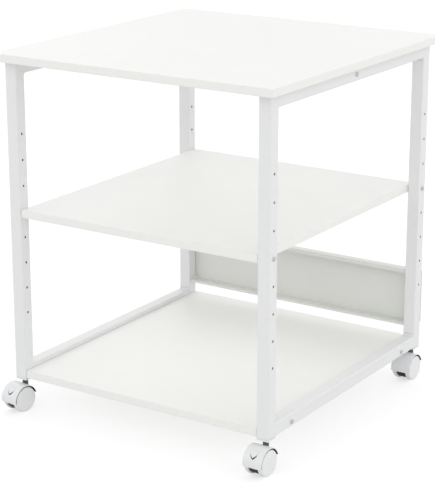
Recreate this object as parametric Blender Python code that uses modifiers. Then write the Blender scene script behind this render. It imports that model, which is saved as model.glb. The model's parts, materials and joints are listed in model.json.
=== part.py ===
"""Mobile printer stand.

Two welded side frames of square steel tube carry a top board and two shelves.  A folded
steel panel closes the lower back, a pressed brace ties the frames under the top board,
and four hooded twin-wheel casters, the front two with a brake lever, carry the stand.

Metres, +Z up, the open front faces -Y.  The origin is on the floor, under the middle of
the stand's overall box.
"""
import math

import bmesh
import bpy
from mathutils import Matrix

# ---- Driving dimensions -------------------------------------------------------------

# Fits
TOUCH_GAP = 0.0003          # between pieces that rest on each other
RUNNING_GAP = 0.0003        # around pins that turn in their bores
SHELF_SIDE_GAP = 0.0005     # between a shelf's ends and the tubes

# Boards
TOP_WIDTH = 0.604
TOP_DEPTH = 0.630
BOARD_THICKNESS = 0.015
BOARD_ARRIS = 0.0008
SHELF_INSET = 0.001         # shelf edge behind the face of the posts
SIDE_OVERHANG = 0.015       # top board past the side frames
END_OVERHANG = 0.021        # top board past the front and rear of the posts

# Side frames
TUBE = 0.025
TUBE_WALL = 0.0012
TUBE_CORNER = 0.002
POST_LENGTH = 0.620
HOLE_RADIUS = 0.0025
HOLE_PITCH = 0.050
HOLE_COUNT = 8
FIRST_HOLE_DROP = 0.1375    # highest hole below the top of the post
SHELF_HOLE = 4              # the hole, counted from the top, that holds the middle shelf
SHELF_SCREW_RISE = 0.0015   # that screw above the middle of the board's edge
BOTTOM_SHELF_RISE = 0.0015  # bottom shelf above the underside of the bottom rails
BOTTOM_SCREW_INSET = 0.055  # bottom shelf screws from the ends of the rail

# Back panel, folded sheet
SHEET = 0.0012
PANEL_RISE = 0.0305         # lower fold above the top of the bottom shelf
PANEL_HEIGHT = 0.114        # of the flat back, between the folds
FLANGE_DEPTH = 0.018
UPPER_LIP = 0.0075
LOWER_LIP = 0.0046
FLANGE_SIDE_GAP = 0.0015
PANEL_SCREW_INSET = 0.028   # screws below and above the flanges

# Brace under the top board
BRACE_DEPTH = 0.025
BRACE_FOOT_RISE = 0.0012    # lower edge above the underside of the top rails
BRACE_SHEET = 0.0015
BRACE_SCREW_REACH = 0.170   # board screws from the middle of the brace

# Screws
HEAD_RADIUS = 0.0042
HEAD_HEIGHT = 0.0024
HEAD_CROWN_SHARE = 0.6      # flat of the head, as a share of its radius
HEAD_RIM_SHARE = 0.4        # straight side of the head, as a share of its height
SHANK_RADIUS = 0.002
SCREW_GRIP = 0.020          # thread inside a board's edge
BRACE_SCREW_GRIP = 0.010
BOARD_SCREW_GRIP = 0.009    # thread inside the top board's underside
PANEL_SCREW_LENGTH = 0.010
SCREW_HOLE_GAP = 0.0004

# Caster
COLLAR_SHOW = 0.0071        # collar between the hood's crown and the socket
SOCKET_FLANGE = 0.004
SOCKET_PLUG = 0.022
WHEEL_RADIUS = 0.0255
WHEEL_WIDTH = 0.0098
WHEEL_ARRIS = 0.0012
WHEEL_CROWN = 0.0005        # the outer face swells this far
WHEEL_DISC_INSET = 0.0048   # flat disc's edge inside the tread
CASTER_WIDTH = 0.0406       # over the two wheels' outer faces
WHEEL_SIDE_GAP = 0.0006
AXLE_RADIUS = 0.003
AXLE_HOLD = 0.0065          # axle inside each wheel
BORE_ALLOWANCE = 0.0007     # a blind bore is deeper than its pin
HOOD_GAP = 0.0011           # wheel to the hood's inner face
HOOD_WALL = 0.0018
HOOD_INSET = 0.0005         # hood side behind the wheel's outer face
HOOD_FRONT_ANGLE = -9.0     # hood ends, in degrees above the forward horizontal
HOOD_REAR_ANGLE = 163.0
HUB_TOP_ANGLE = 60.0        # the hub disc's arc, above the forward horizontal
HUB_FOOT_ANGLE = -135.0
BLOCK_FRONT_ANGLE = 88.0    # front of the stem block, under the hood
BLOCK_BACK_WALL = 0.0022    # stem block behind the collar
STEM_RADIUS = 0.004
COLLAR_STEP = 0.0015        # collar outside the stem
COLLAR_INSET = 0.0041       # collar inside the hood's rear, level with the axle
STEM_FOOT_DROP = 0.0095     # lower end of the stem below the axle
COLLAR_FOOT_RISE = 0.0128   # lower end of the collar above the axle
STEM_IN_SOCKET = 0.018

# Brake lever, front casters
EAR_RADIUS = 0.0038
EAR_THICKNESS = 0.0030
EAR_SIDE_GAP = 0.0004       # lever to each ear
LEVER_SIDE_GAP = 0.0006     # lever to the sides of its window
LEVER_TIP_ANGLE = 29.0
LEVER_TOP_ANGLE = 64.0
LEVER_TIP_LIFT = 0.0018     # the tip stands proud of the hood
WINDOW_FRONT_ANGLE = 15.0
WINDOW_TOP_ANGLE = 70.0
PIVOT_ANGLE = 56.0
PIVOT_RADIUS = 0.002
PIVOT_HUB_GAP = 0.0015      # hub disc inside the pivot
ARM_SHARE = 0.9             # half the lever's arm, as a share of the pivot's radius

# How each caster is turned about its stem, in degrees, when the stand is at rest
CASTER_TURN = {
    "front_left": -8.0,
    "front_right": -2.0,
    "rear_left": 3.0,
    "rear_right": -1.0,
}
BRAKED = ("front_left", "front_right")

# Facets of round pieces
HOLE_SIDES = 8
SCREW_SIDES = 10
PIN_SIDES = 16
WHEEL_SIDES = 24
ARC_STEP = 12.0             # degrees for each facet of a hood or core outline
SHARP_ANGLE = 40.0          # facets that turn less than this are shaded smooth
MERGE = 0.00001

# ---- Derived places -----------------------------------------------------------------

AXLE_Z = WHEEL_RADIUS
HOOD_INNER = WHEEL_RADIUS + HOOD_GAP
HOOD_OUTER = HOOD_INNER + HOOD_WALL
CASTER_HEIGHT = AXLE_Z + HOOD_OUTER + COLLAR_SHOW

FRAME_WIDTH = TOP_WIDTH - 2 * SIDE_OVERHANG
FRAME_DEPTH = TOP_DEPTH - 2 * END_OVERHANG
POST_X = (FRAME_WIDTH - TUBE) / 2
POST_Y = (FRAME_DEPTH - TUBE) / 2
TUBE_FOOT = CASTER_HEIGHT + SOCKET_FLANGE
FRAME_TOP = TUBE_FOOT + POST_LENGTH
BOARD_UNDERSIDE = FRAME_TOP
TUBE_INNER = TUBE - 2 * TUBE_WALL
SHELF_WIDTH = FRAME_WIDTH - 2 * TUBE - 2 * SHELF_SIDE_GAP
SHELF_DEPTH = FRAME_DEPTH - 2 * SHELF_INSET
SHELF_SCREW_Z = FRAME_TOP - FIRST_HOLE_DROP - (SHELF_HOLE - 1) * HOLE_PITCH
MIDDLE_SHELF_Z = SHELF_SCREW_Z - SHELF_SCREW_RISE
BOTTOM_SHELF_Z = TUBE_FOOT + BOTTOM_SHELF_RISE + BOARD_THICKNESS / 2
TOP_RAIL_Z = FRAME_TOP - TOUCH_GAP - TUBE / 2
BOTTOM_RAIL_Z = TUBE_FOOT + TUBE / 2
BOTTOM_SCREW_REACH = FRAME_DEPTH / 2 - TUBE - BOTTOM_SCREW_INSET
PANEL_BOTTOM = BOTTOM_SHELF_Z + BOARD_THICKNESS / 2 + PANEL_RISE
PANEL_TOP = PANEL_BOTTOM + PANEL_HEIGHT
PANEL_BACK = FRAME_DEPTH / 2 + TOUCH_GAP + SHEET
BRACE_LENGTH = FRAME_WIDTH - 2 * TUBE - 2 * TOUCH_GAP
BRACE_HEIGHT = TUBE - TOUCH_GAP - BRACE_FOOT_RISE

HOOD_WIDTH = CASTER_WIDTH - 2 * HOOD_INSET
WHEEL_INNER_X = CASTER_WIDTH / 2 - WHEEL_WIDTH
CORE_WIDTH = 2 * (WHEEL_INNER_X - WHEEL_SIDE_GAP)
SOCKET_TOP = TUBE_FOOT + SOCKET_PLUG
COLLAR_RADIUS = STEM_RADIUS + COLLAR_STEP
CASTER_TRAIL = HOOD_INNER - COLLAR_RADIUS - COLLAR_INSET   # stem axis to wheel axis
STEM_TOP = TUBE_FOOT + STEM_IN_SOCKET
STEM_FOOT = AXLE_Z - STEM_FOOT_DROP
COLLAR_FOOT = AXLE_Z + COLLAR_FOOT_RISE
LEVER_WIDTH = CORE_WIDTH - 2 * (EAR_THICKNESS + EAR_SIDE_GAP)
PIVOT_REACH = HOOD_INNER - EAR_RADIUS - TOUCH_GAP
CORE_RADIUS = PIVOT_REACH - PIVOT_RADIUS - PIVOT_HUB_GAP
PIVOT_Y = -CASTER_TRAIL - PIVOT_REACH * math.cos(math.radians(PIVOT_ANGLE))
PIVOT_Z = AXLE_Z + PIVOT_REACH * math.sin(math.radians(PIVOT_ANGLE))

# The hoods reach further forward than the top board reaches back, so the stand is set
# back by half the difference and the origin is under the middle of the overall box.
FRONT_REACH = POST_Y + CASTER_TRAIL + HOOD_OUTER
STAND_Y = (FRONT_REACH - TOP_DEPTH / 2) / 2

SIDES = (("left", -1), ("right", 1))
ENDS = (("front", -1), ("rear", 1))
CORNERS = [(end + "_" + side, sx, sy) for end, sy in ENDS for side, sx in SIDES]
AXIS_TURN = {
    "X": Matrix.Rotation(math.pi / 2, 4, "Y"),
    "Y": Matrix.Rotation(-math.pi / 2, 4, "X"),
    "Z": Matrix.Identity(4),
}

# Colour, roughness and metallic value of each finish
FINISHES = {
    "white_board": ((0.90, 0.90, 0.885), 0.45, 0.0),
    "white_paint": ((0.83, 0.835, 0.84), 0.38, 0.0),
    "grey_paint": ((0.70, 0.71, 0.70), 0.42, 0.0),
    "white_plastic": ((0.86, 0.87, 0.88), 0.40, 0.0),
    "wheel_plastic": ((0.80, 0.81, 0.82), 0.45, 0.0),
    "black_plastic": ((0.015, 0.015, 0.017), 0.55, 0.0),
    "steel": ((0.55, 0.56, 0.58), 0.30, 1.0),
}


# ---- Workshop helpers ---------------------------------------------------------------

def clear_scene():
    for old in list(bpy.data.objects):
        bpy.data.objects.remove(old, do_unlink=True)


def new_collection(name):
    collection = bpy.data.collections.new(name)
    bpy.context.scene.collection.children.link(collection)
    return collection


def new_finish(name):
    colour, roughness, metallic = FINISHES[name]
    material = bpy.data.materials.new(name)
    material.use_nodes = True
    shader = material.node_tree.nodes["Principled BSDF"]
    shader.inputs["Base Color"].default_value = (*colour, 1.0)
    shader.inputs["Roughness"].default_value = roughness
    shader.inputs["Metallic"].default_value = metallic
    material.diffuse_color = (*colour, 1.0)
    return material


class Bench:
    """The collections, finishes and parent empties that the pieces are made with."""

    def __init__(self):
        self.parts = new_collection("mobile_printer_stand")
        self.cutters = new_collection("cutters")
        self.finishes = {name: new_finish(name) for name in FINISHES}

    def empty(self, name, parent=None, location=(0, 0, 0), turn=0.0):
        holder = bpy.data.objects.new(name, None)
        self.parts.objects.link(holder)
        holder.parent = parent
        holder.location = location
        holder.rotation_euler = (0, 0, turn)
        return holder

    def piece(self, name, mesh, finish, parent, location=(0, 0, 0)):
        part = bpy.data.objects.new(name, mesh)
        self.parts.objects.link(part)
        part.parent = parent
        part.location = location
        mesh.materials.append(self.finishes[finish])
        return part

    def cutter(self, name, mesh, parent, location=(0, 0, 0)):
        tool = bpy.data.objects.new(name, mesh)
        self.cutters.objects.link(tool)
        tool.parent = parent
        tool.location = location
        tool.hide_render = True
        tool.display_type = "WIRE"
        return tool


def to_mesh(name, shape):
    mesh = bpy.data.meshes.new(name)
    shape.to_mesh(mesh)
    shape.free()
    return mesh


def box_mesh(name, low, high):
    """A box between two opposite corners."""
    size = [b - a for a, b in zip(low, high)]
    middle = [(a + b) / 2 for a, b in zip(low, high)]
    shape = bmesh.new()
    place = Matrix.Translation(middle) @ Matrix.Diagonal((*size, 1.0))
    bmesh.ops.create_cube(shape, size=1.0, matrix=place)
    return to_mesh(name, shape)


def rods_mesh(name, radius, length, axis, centres, sides):
    """Equal rods along one axis, one for each centre."""
    shape = bmesh.new()
    for centre in centres:
        bmesh.ops.create_cone(
            shape,
            cap_ends=True,
            segments=sides,
            radius1=radius,
            radius2=radius,
            depth=length,
            matrix=Matrix.Translation(centre) @ AXIS_TURN[axis],
        )
    return to_mesh(name, shape)


def tube_mesh(name, length, axis):
    """The four open sides of a square tube, centred on the origin."""
    shape = bmesh.new()
    size = Matrix.Diagonal((TUBE, TUBE, length, 1.0))
    bmesh.ops.create_cube(shape, size=1.0, matrix=size)
    ends = [face for face in shape.faces if abs(face.normal.z) > 0.5]
    bmesh.ops.delete(shape, geom=ends, context="FACES_ONLY")
    bmesh.ops.transform(shape, matrix=AXIS_TURN[axis], verts=shape.verts)
    return to_mesh(name, shape)


def outline_mesh(name, points, width):
    """A flat outline of (y, z) points, extruded to both sides along X."""
    curve = bpy.data.curves.new(name + "_outline", "CURVE")
    curve.dimensions = "2D"
    curve.fill_mode = "BOTH"
    curve.extrude = width / 2
    spline = curve.splines.new("POLY")
    spline.points.add(len(points) - 1)
    for point, (y, z) in zip(spline.points, points):
        point.co = (y, z, 0.0, 1.0)
    spline.use_cyclic_u = True
    guide = bpy.data.objects.new(name + "_outline", curve)
    # the curve's x, y and z become the stand's y, z and x
    guide.rotation_euler = (math.pi / 2, 0.0, math.pi / 2)
    bpy.context.scene.collection.objects.link(guide)
    bpy.context.view_layer.update()
    solid = guide.evaluated_get(bpy.context.evaluated_depsgraph_get())
    mesh = bpy.data.meshes.new_from_object(solid)
    mesh.transform(guide.matrix_world)
    bpy.data.objects.remove(guide, do_unlink=True)
    shape = bmesh.new()
    shape.from_mesh(mesh)
    bmesh.ops.remove_doubles(shape, verts=shape.verts, dist=MERGE)
    shape.to_mesh(mesh)
    shape.free()
    return mesh


def profile_mesh(name, profile):
    """A line of (radius, height) points for a Screw modifier."""
    shape = bmesh.new()
    corners = [shape.verts.new((radius, 0.0, height)) for radius, height in profile]
    for start, end in zip(corners, corners[1:]):
        shape.edges.new((start, end))
    return to_mesh(name, shape)


def turn_solid(part, sides):
    """Sweep a profile once round its local Z axis."""
    screw = part.modifiers.new("turned", "SCREW")
    screw.steps = sides
    screw.render_steps = sides
    screw.use_merge_vertices = True
    screw.merge_threshold = MERGE


def combine(part, tool, operation):
    modifier = part.modifiers.new(operation.lower() + "_" + tool.name, "BOOLEAN")
    modifier.operation = operation
    modifier.solver = "EXACT"
    modifier.object = tool


def soften(part, width, segments=1):
    bevel = part.modifiers.new("arris", "BEVEL")
    bevel.width = width
    bevel.segments = segments
    bevel.limit_method = "ANGLE"


def thicken(part, thickness):
    wall = part.modifiers.new("sheet", "SOLIDIFY")
    wall.thickness = thickness
    wall.offset = -1.0
    wall.use_even_offset = True


def shade_round(mesh):
    mesh.shade_smooth()
    mesh.set_sharp_from_angle(angle=math.radians(SHARP_ANGLE))


def hood_point(radius, angle):
    """(y, z) at an angle above the forward horizontal, about the wheel axis."""
    turn = math.radians(angle)
    return (-CASTER_TRAIL - radius * math.cos(turn), AXLE_Z + radius * math.sin(turn))


def arc(radius, start, end):
    steps = max(1, round(abs(end - start) / ARC_STEP))
    return [hood_point(radius, start + (end - start) * i / steps) for i in range(steps + 1)]


# ---- Screws -------------------------------------------------------------------------

def add_screw(bench, parent, name, seat, turn, length):
    """A pan-head screw: its head stands on the seat and its shank runs down local -Z."""
    head = TOUCH_GAP + HEAD_HEIGHT
    profile = [
        (0.0, head),
        (HEAD_RADIUS * HEAD_CROWN_SHARE, head),
        (HEAD_RADIUS, TOUCH_GAP + HEAD_HEIGHT * HEAD_RIM_SHARE),
        (HEAD_RADIUS, TOUCH_GAP),
        (SHANK_RADIUS, TOUCH_GAP),
        (SHANK_RADIUS, -length),
        (0.0, -length),
    ]
    screw = bench.piece(name, profile_mesh(name, profile), "steel", parent, seat)
    screw.rotation_euler = turn
    turn_solid(screw, SCREW_SIDES)
    shade_round(screw.data)
    return screw


def facing(direction):
    """The turn that points a screw's head along +X, -X, +Y or -Z."""
    turns = {
        "+X": (0.0, math.pi / 2, 0.0),
        "-X": (0.0, -math.pi / 2, 0.0),
        "+Y": (-math.pi / 2, 0.0, 0.0),
        "-Z": (math.pi, 0.0, 0.0),
    }
    return turns[direction]


def side_direction(sx):
    return "+X" if sx > 0 else "-X"


def cut_screw_holes(bench, parent, part, radius, length, axis, centres):
    mesh = rods_mesh(part.name + "_holes", radius, length, axis, centres, HOLE_SIDES)
    combine(part, bench.cutter(part.name + "_holes", mesh, parent), "DIFFERENCE")


# ---- Boards -------------------------------------------------------------------------

def add_top_board(bench, stand):
    half_width = TOP_WIDTH / 2
    half_depth = TOP_DEPTH / 2
    low = (-half_width, -half_depth, BOARD_UNDERSIDE)
    high = (half_width, half_depth, BOARD_UNDERSIDE + BOARD_THICKNESS)
    board = bench.piece("top_board", box_mesh("top_board", low, high), "white_board", stand)
    soften(board, BOARD_ARRIS)
    centres = [(sx * BRACE_SCREW_REACH, 0.0, BOARD_UNDERSIDE) for _, sx in SIDES]
    depth = 2 * (BOARD_SCREW_GRIP + BORE_ALLOWANCE)
    radius = SHANK_RADIUS + SCREW_HOLE_GAP
    cut_screw_holes(bench, stand, board, radius, depth, "Z", centres)


def add_shelf(bench, stand, name, middle_z, screw_y, screw_z):
    """A shelf between the side frames, with a screw into each end near each corner."""
    half_width = SHELF_WIDTH / 2
    half_depth = SHELF_DEPTH / 2
    low = (-half_width, -half_depth, middle_z - BOARD_THICKNESS / 2)
    high = (half_width, half_depth, middle_z + BOARD_THICKNESS / 2)
    shelf = bench.piece(name, box_mesh(name, low, high), "white_board", stand)
    soften(shelf, BOARD_ARRIS)
    centres = [(sx * half_width, sy * screw_y, screw_z) for _, sx in SIDES for _, sy in ENDS]
    depth = 2 * (SCREW_GRIP + BORE_ALLOWANCE)
    radius = SHANK_RADIUS + SCREW_HOLE_GAP
    cut_screw_holes(bench, stand, shelf, radius, depth, "X", centres)
    length = TUBE + SHELF_SIDE_GAP + SCREW_GRIP
    for corner, sx, sy in CORNERS:
        seat = (sx * FRAME_WIDTH / 2, sy * screw_y, screw_z)
        turn = facing(side_direction(sx))
        add_screw(bench, stand, name + "_screw_" + corner, seat, turn, length)


# ---- Side frames --------------------------------------------------------------------

def finish_tube(part):
    soften(part, TUBE_CORNER, segments=2)
    thicken(part, TUBE_WALL)


def add_post(bench, stand, corner, sx, sy):
    name = "post_" + corner
    length = POST_LENGTH - TOUCH_GAP
    middle = (sx * POST_X, sy * POST_Y, TUBE_FOOT + length / 2)
    post = bench.piece(name, tube_mesh(name, length, "Z"), "white_paint", stand, middle)
    finish_tube(post)
    first = FRAME_TOP - FIRST_HOLE_DROP
    centres = [(0, 0, first - i * HOLE_PITCH - middle[2]) for i in range(HOLE_COUNT)]
    rods = rods_mesh(name + "_holes", HOLE_RADIUS, 2 * TUBE, "X", centres, HOLE_SIDES)
    combine(post, bench.cutter(name + "_holes", rods, stand, middle), "DIFFERENCE")
    if sy > 0:
        centres = [(0, TUBE / 2, z - middle[2]) for z in panel_screw_heights()]
        rods = rods_mesh(name + "_panel_holes", HOLE_RADIUS, TUBE / 2, "Y", centres, HOLE_SIDES)
        tool = bench.cutter(name + "_panel_holes", rods, stand, middle)
        combine(post, tool, "DIFFERENCE")


def add_rail(bench, stand, name, sx, middle_z, screw_places, screw_z):
    """A rail between the posts, cross-drilled where a screw passes through it."""
    length = FRAME_DEPTH - 2 * TUBE - 2 * TOUCH_GAP
    middle = (sx * POST_X, 0.0, middle_z)
    rail = bench.piece(name, tube_mesh(name, length, "Y"), "white_paint", stand, middle)
    finish_tube(rail)
    centres = [(0, y, screw_z - middle_z) for y in screw_places]
    rods = rods_mesh(name + "_holes", HOLE_RADIUS, 2 * TUBE, "X", centres, HOLE_SIDES)
    combine(rail, bench.cutter(name + "_holes", rods, stand, middle), "DIFFERENCE")


def add_side_frames(bench, stand):
    for corner, sx, sy in CORNERS:
        add_post(bench, stand, corner, sx, sy)
    for side, sx in SIDES:
        add_rail(bench, stand, "top_rail_" + side, sx, TOP_RAIL_Z, (0.0,), TOP_RAIL_Z)
        places = (-BOTTOM_SCREW_REACH, BOTTOM_SCREW_REACH)
        add_rail(
            bench, stand, "bottom_rail_" + side, sx, BOTTOM_RAIL_Z, places, BOTTOM_SHELF_Z
        )


# ---- Brace and back panel -----------------------------------------------------------

def add_brace(bench, stand):
    """A pressed channel, open below, from one top rail to the other."""
    half = BRACE_LENGTH / 2
    top = BOARD_UNDERSIDE - TOUCH_GAP
    low = (-half, -BRACE_DEPTH / 2, top - BRACE_HEIGHT)
    high = (half, BRACE_DEPTH / 2, top)
    mesh = box_mesh("cross_brace", low, high)
    shape = bmesh.new()
    shape.from_mesh(mesh)
    open_face = [face for face in shape.faces if face.normal.z < -0.5]
    bmesh.ops.delete(shape, geom=open_face, context="FACES_ONLY")
    shape.to_mesh(mesh)
    shape.free()
    brace = bench.piece("cross_brace", mesh, "white_paint", stand)
    thicken(brace, BRACE_SHEET)
    radius = SHANK_RADIUS + SCREW_HOLE_GAP
    centres = [(sx * half, 0.0, TOP_RAIL_Z) for _, sx in SIDES]
    cut_screw_holes(bench, stand, brace, radius, 2 * BRACE_HEIGHT, "X", centres)
    centres = [(sx * BRACE_SCREW_REACH, 0.0, top) for _, sx in SIDES]
    mesh = rods_mesh("cross_brace_board_holes", radius, BRACE_HEIGHT, "Z", centres, HOLE_SIDES)
    combine(brace, bench.cutter("cross_brace_board_holes", mesh, stand), "DIFFERENCE")
    for side, sx in SIDES:
        seat = (sx * FRAME_WIDTH / 2, 0.0, TOP_RAIL_Z)
        turn = facing(side_direction(sx))
        length = TUBE + BRACE_SCREW_GRIP
        add_screw(bench, stand, "cross_brace_screw_" + side, seat, turn, length)
        seat = (sx * BRACE_SCREW_REACH, 0.0, top - BRACE_SHEET)
        length = BRACE_SHEET + TOUCH_GAP + BOARD_SCREW_GRIP
        add_screw(bench, stand, "top_board_screw_" + side, seat, facing("-Z"), length)


def panel_screw_heights():
    return (PANEL_TOP - PANEL_SCREW_INSET, PANEL_BOTTOM + PANEL_SCREW_INSET)


def fold(shape, edges, move):
    """Pull a new strip of sheet out of some free edges and return its far edges."""
    grown = bmesh.ops.extrude_edge_only(shape, edges=edges)["geom"]
    corners = [item for item in grown if isinstance(item, bmesh.types.BMVert)]
    bmesh.ops.translate(shape, vec=move, verts=corners)
    return [
        item
        for item in grown
        if isinstance(item, bmesh.types.BMEdge) and all(v in corners for v in item.verts)
    ]


def add_back_panel(bench, stand):
    """Sheet behind the rear posts, its flanges and lips folded forward between them."""
    post_inner = FRAME_WIDTH / 2 - TUBE
    flange_end = post_inner - FLANGE_SIDE_GAP
    relief = post_inner - FLANGE_SIDE_GAP / 2
    right = (flange_end, relief, FRAME_WIDTH / 2)
    stations = [-x for x in reversed(right)] + list(right)
    shape = bmesh.new()
    lower = [shape.verts.new((x, PANEL_BACK, PANEL_BOTTOM)) for x in stations]
    row = [shape.edges.new(pair) for pair in zip(lower, lower[1:])]
    top = fold(shape, row, (0.0, 0.0, PANEL_HEIGHT))
    between = (flange_end + relief) / 2
    middle_top = [edge for edge in top if max(abs(v.co.x) for v in edge.verts) < between]
    flange = fold(shape, middle_top, (0.0, -FLANGE_DEPTH - SHEET, 0.0))
    fold(shape, flange, (0.0, 0.0, -UPPER_LIP))
    middle_low = row[len(row) // 2]
    flange = fold(shape, [middle_low], (0.0, -FLANGE_DEPTH - SHEET, 0.0))
    fold(shape, flange, (0.0, 0.0, -LOWER_LIP))
    bmesh.ops.recalc_face_normals(shape, faces=shape.faces)
    web = max(shape.faces, key=lambda face: face.calc_area())
    if web.normal.y < 0:
        bmesh.ops.reverse_faces(shape, faces=shape.faces)
    panel = bench.piece("back_panel", to_mesh("back_panel", shape), "grey_paint", stand)
    thicken(panel, SHEET)
    centres = [(sx * POST_X, PANEL_BACK, z) for _, sx in SIDES for z in panel_screw_heights()]
    radius = SHANK_RADIUS + SCREW_HOLE_GAP
    cut_screw_holes(bench, stand, panel, radius, TUBE / 2, "Y", centres)
    for side, sx in SIDES:
        for level, z in zip(("upper", "lower"), panel_screw_heights()):
            name = "panel_screw_" + side + "_" + level
            seat = (sx * POST_X, PANEL_BACK, z)
            add_screw(bench, stand, name, seat, facing("+Y"), PANEL_SCREW_LENGTH)


# ---- Casters ------------------------------------------------------------------------

def add_socket(bench, holder, corner):
    """The plastic insert in the post's foot, with the bore that the stem turns in."""
    name = "caster_socket_" + corner
    half = TUBE / 2
    flange_top = TUBE_FOOT - TOUCH_GAP
    mesh = box_mesh(name, (-half, -half, CASTER_HEIGHT), (half, half, flange_top))
    socket = bench.piece(name, mesh, "white_plastic", holder)
    half = TUBE_INNER / 2 - TOUCH_GAP
    overlap = SOCKET_FLANGE / 2
    mesh = box_mesh(name + "_plug", (-half, -half, TUBE_FOOT - overlap), (half, half, SOCKET_TOP))
    plug = bench.cutter(name + "_plug", mesh, holder)
    soften(plug, TUBE_CORNER)
    combine(socket, plug, "UNION")
    depth = STEM_TOP + BORE_ALLOWANCE - CASTER_HEIGHT
    radius = STEM_RADIUS + RUNNING_GAP
    mesh = rods_mesh(name + "_bore", radius, 2 * depth, "Z", [(0, 0, CASTER_HEIGHT)], PIN_SIDES)
    combine(socket, bench.cutter(name + "_bore", mesh, holder), "DIFFERENCE")


def add_stem(bench, holder, corner):
    name = "caster_stem_" + corner
    collar_top = CASTER_HEIGHT - TOUCH_GAP
    profile = [
        (0.0, STEM_TOP),
        (STEM_RADIUS, STEM_TOP),
        (STEM_RADIUS, collar_top),
        (COLLAR_RADIUS, collar_top),
        (COLLAR_RADIUS, COLLAR_FOOT),
        (STEM_RADIUS, COLLAR_FOOT),
        (STEM_RADIUS, STEM_FOOT),
        (0.0, STEM_FOOT),
    ]
    stem = bench.piece(name, profile_mesh(name, profile), "steel", holder)
    turn_solid(stem, PIN_SIDES)
    shade_round(stem.data)


def core_outline():
    """Hub disc in front, stem block behind, with its top under the hood."""
    top = HOOD_INNER - TOUCH_GAP
    back = COLLAR_RADIUS + BLOCK_BACK_WALL
    reach = back + CASTER_TRAIL
    back_angle = 180.0 - math.degrees(math.acos(reach / top))
    hub_front = arc(CORE_RADIUS, HUB_TOP_ANGLE, HUB_FOOT_ANGLE)
    hub_back = [(back, AXLE_Z - CORE_RADIUS / 2)]
    return hub_front + hub_back + arc(top, back_angle, BLOCK_FRONT_ANGLE)


def add_core(bench, holder, corner, braked):
    """The black middle body, which holds the stem, the axle and the brake's pivot."""
    name = "caster_core_" + corner
    mesh = outline_mesh(name, core_outline(), CORE_WIDTH)
    core = bench.piece(name, mesh, "black_plastic", holder)
    if braked:
        ear_x = CORE_WIDTH / 2 - EAR_THICKNESS / 2
        centres = [(sx * ear_x, PIVOT_Y, PIVOT_Z) for _, sx in SIDES]
        mesh = rods_mesh(name + "_ears", EAR_RADIUS, EAR_THICKNESS, "X", centres, PIN_SIDES)
        combine(core, bench.cutter(name + "_ears", mesh, holder), "UNION")
        radius = PIVOT_RADIUS + RUNNING_GAP
        centres = [(0.0, PIVOT_Y, PIVOT_Z)]
        mesh = rods_mesh(name + "_pivot", radius, 2 * CORE_WIDTH, "X", centres, PIN_SIDES)
        combine(core, bench.cutter(name + "_pivot", mesh, holder), "DIFFERENCE")
    centres = [(0.0, -CASTER_TRAIL, AXLE_Z)]
    radius = AXLE_RADIUS + RUNNING_GAP
    mesh = rods_mesh(name + "_axle_bore", radius, 2 * CORE_WIDTH, "X", centres, PIN_SIDES)
    combine(core, bench.cutter(name + "_axle_bore", mesh, holder), "DIFFERENCE")
    bore_foot = STEM_FOOT - TOUCH_GAP
    profile = [
        (0.0, CASTER_HEIGHT),
        (COLLAR_RADIUS + RUNNING_GAP, CASTER_HEIGHT),
        (COLLAR_RADIUS + RUNNING_GAP, COLLAR_FOOT - TOUCH_GAP),
        (STEM_RADIUS + RUNNING_GAP, COLLAR_FOOT - TOUCH_GAP),
        (STEM_RADIUS + RUNNING_GAP, bore_foot),
        (0.0, bore_foot),
    ]
    tool = bench.cutter(name + "_stem_bore", profile_mesh(name + "_stem_bore", profile), holder)
    turn_solid(tool, PIN_SIDES)
    combine(core, tool, "DIFFERENCE")


def add_hood(bench, holder, corner, braked):
    """The white cover over both wheels; a braked one has a window for its lever."""
    name = "caster_hood_" + corner
    outline = arc(HOOD_OUTER, HOOD_FRONT_ANGLE, HOOD_REAR_ANGLE)
    outline += arc(HOOD_INNER, HOOD_REAR_ANGLE, HOOD_FRONT_ANGLE)
    mesh = outline_mesh(name, outline, HOOD_WIDTH)
    hood = bench.piece(name, mesh, "white_plastic", holder)
    radius = COLLAR_RADIUS + RUNNING_GAP
    centres = [(0.0, 0.0, CASTER_HEIGHT)]
    mesh = rods_mesh(name + "_bore", radius, 2 * COLLAR_FOOT, "Z", centres, PIN_SIDES)
    combine(hood, bench.cutter(name + "_bore", mesh, holder), "DIFFERENCE")
    if braked:
        window = arc(HOOD_OUTER + HOOD_WALL, WINDOW_FRONT_ANGLE, WINDOW_TOP_ANGLE)
        window += arc(HOOD_INNER - HOOD_WALL, WINDOW_TOP_ANGLE, WINDOW_FRONT_ANGLE)
        width = LEVER_WIDTH + 2 * LEVER_SIDE_GAP
        mesh = outline_mesh(name + "_window", window, width)
        combine(hood, bench.cutter(name + "_window", mesh, holder), "DIFFERENCE")


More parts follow.
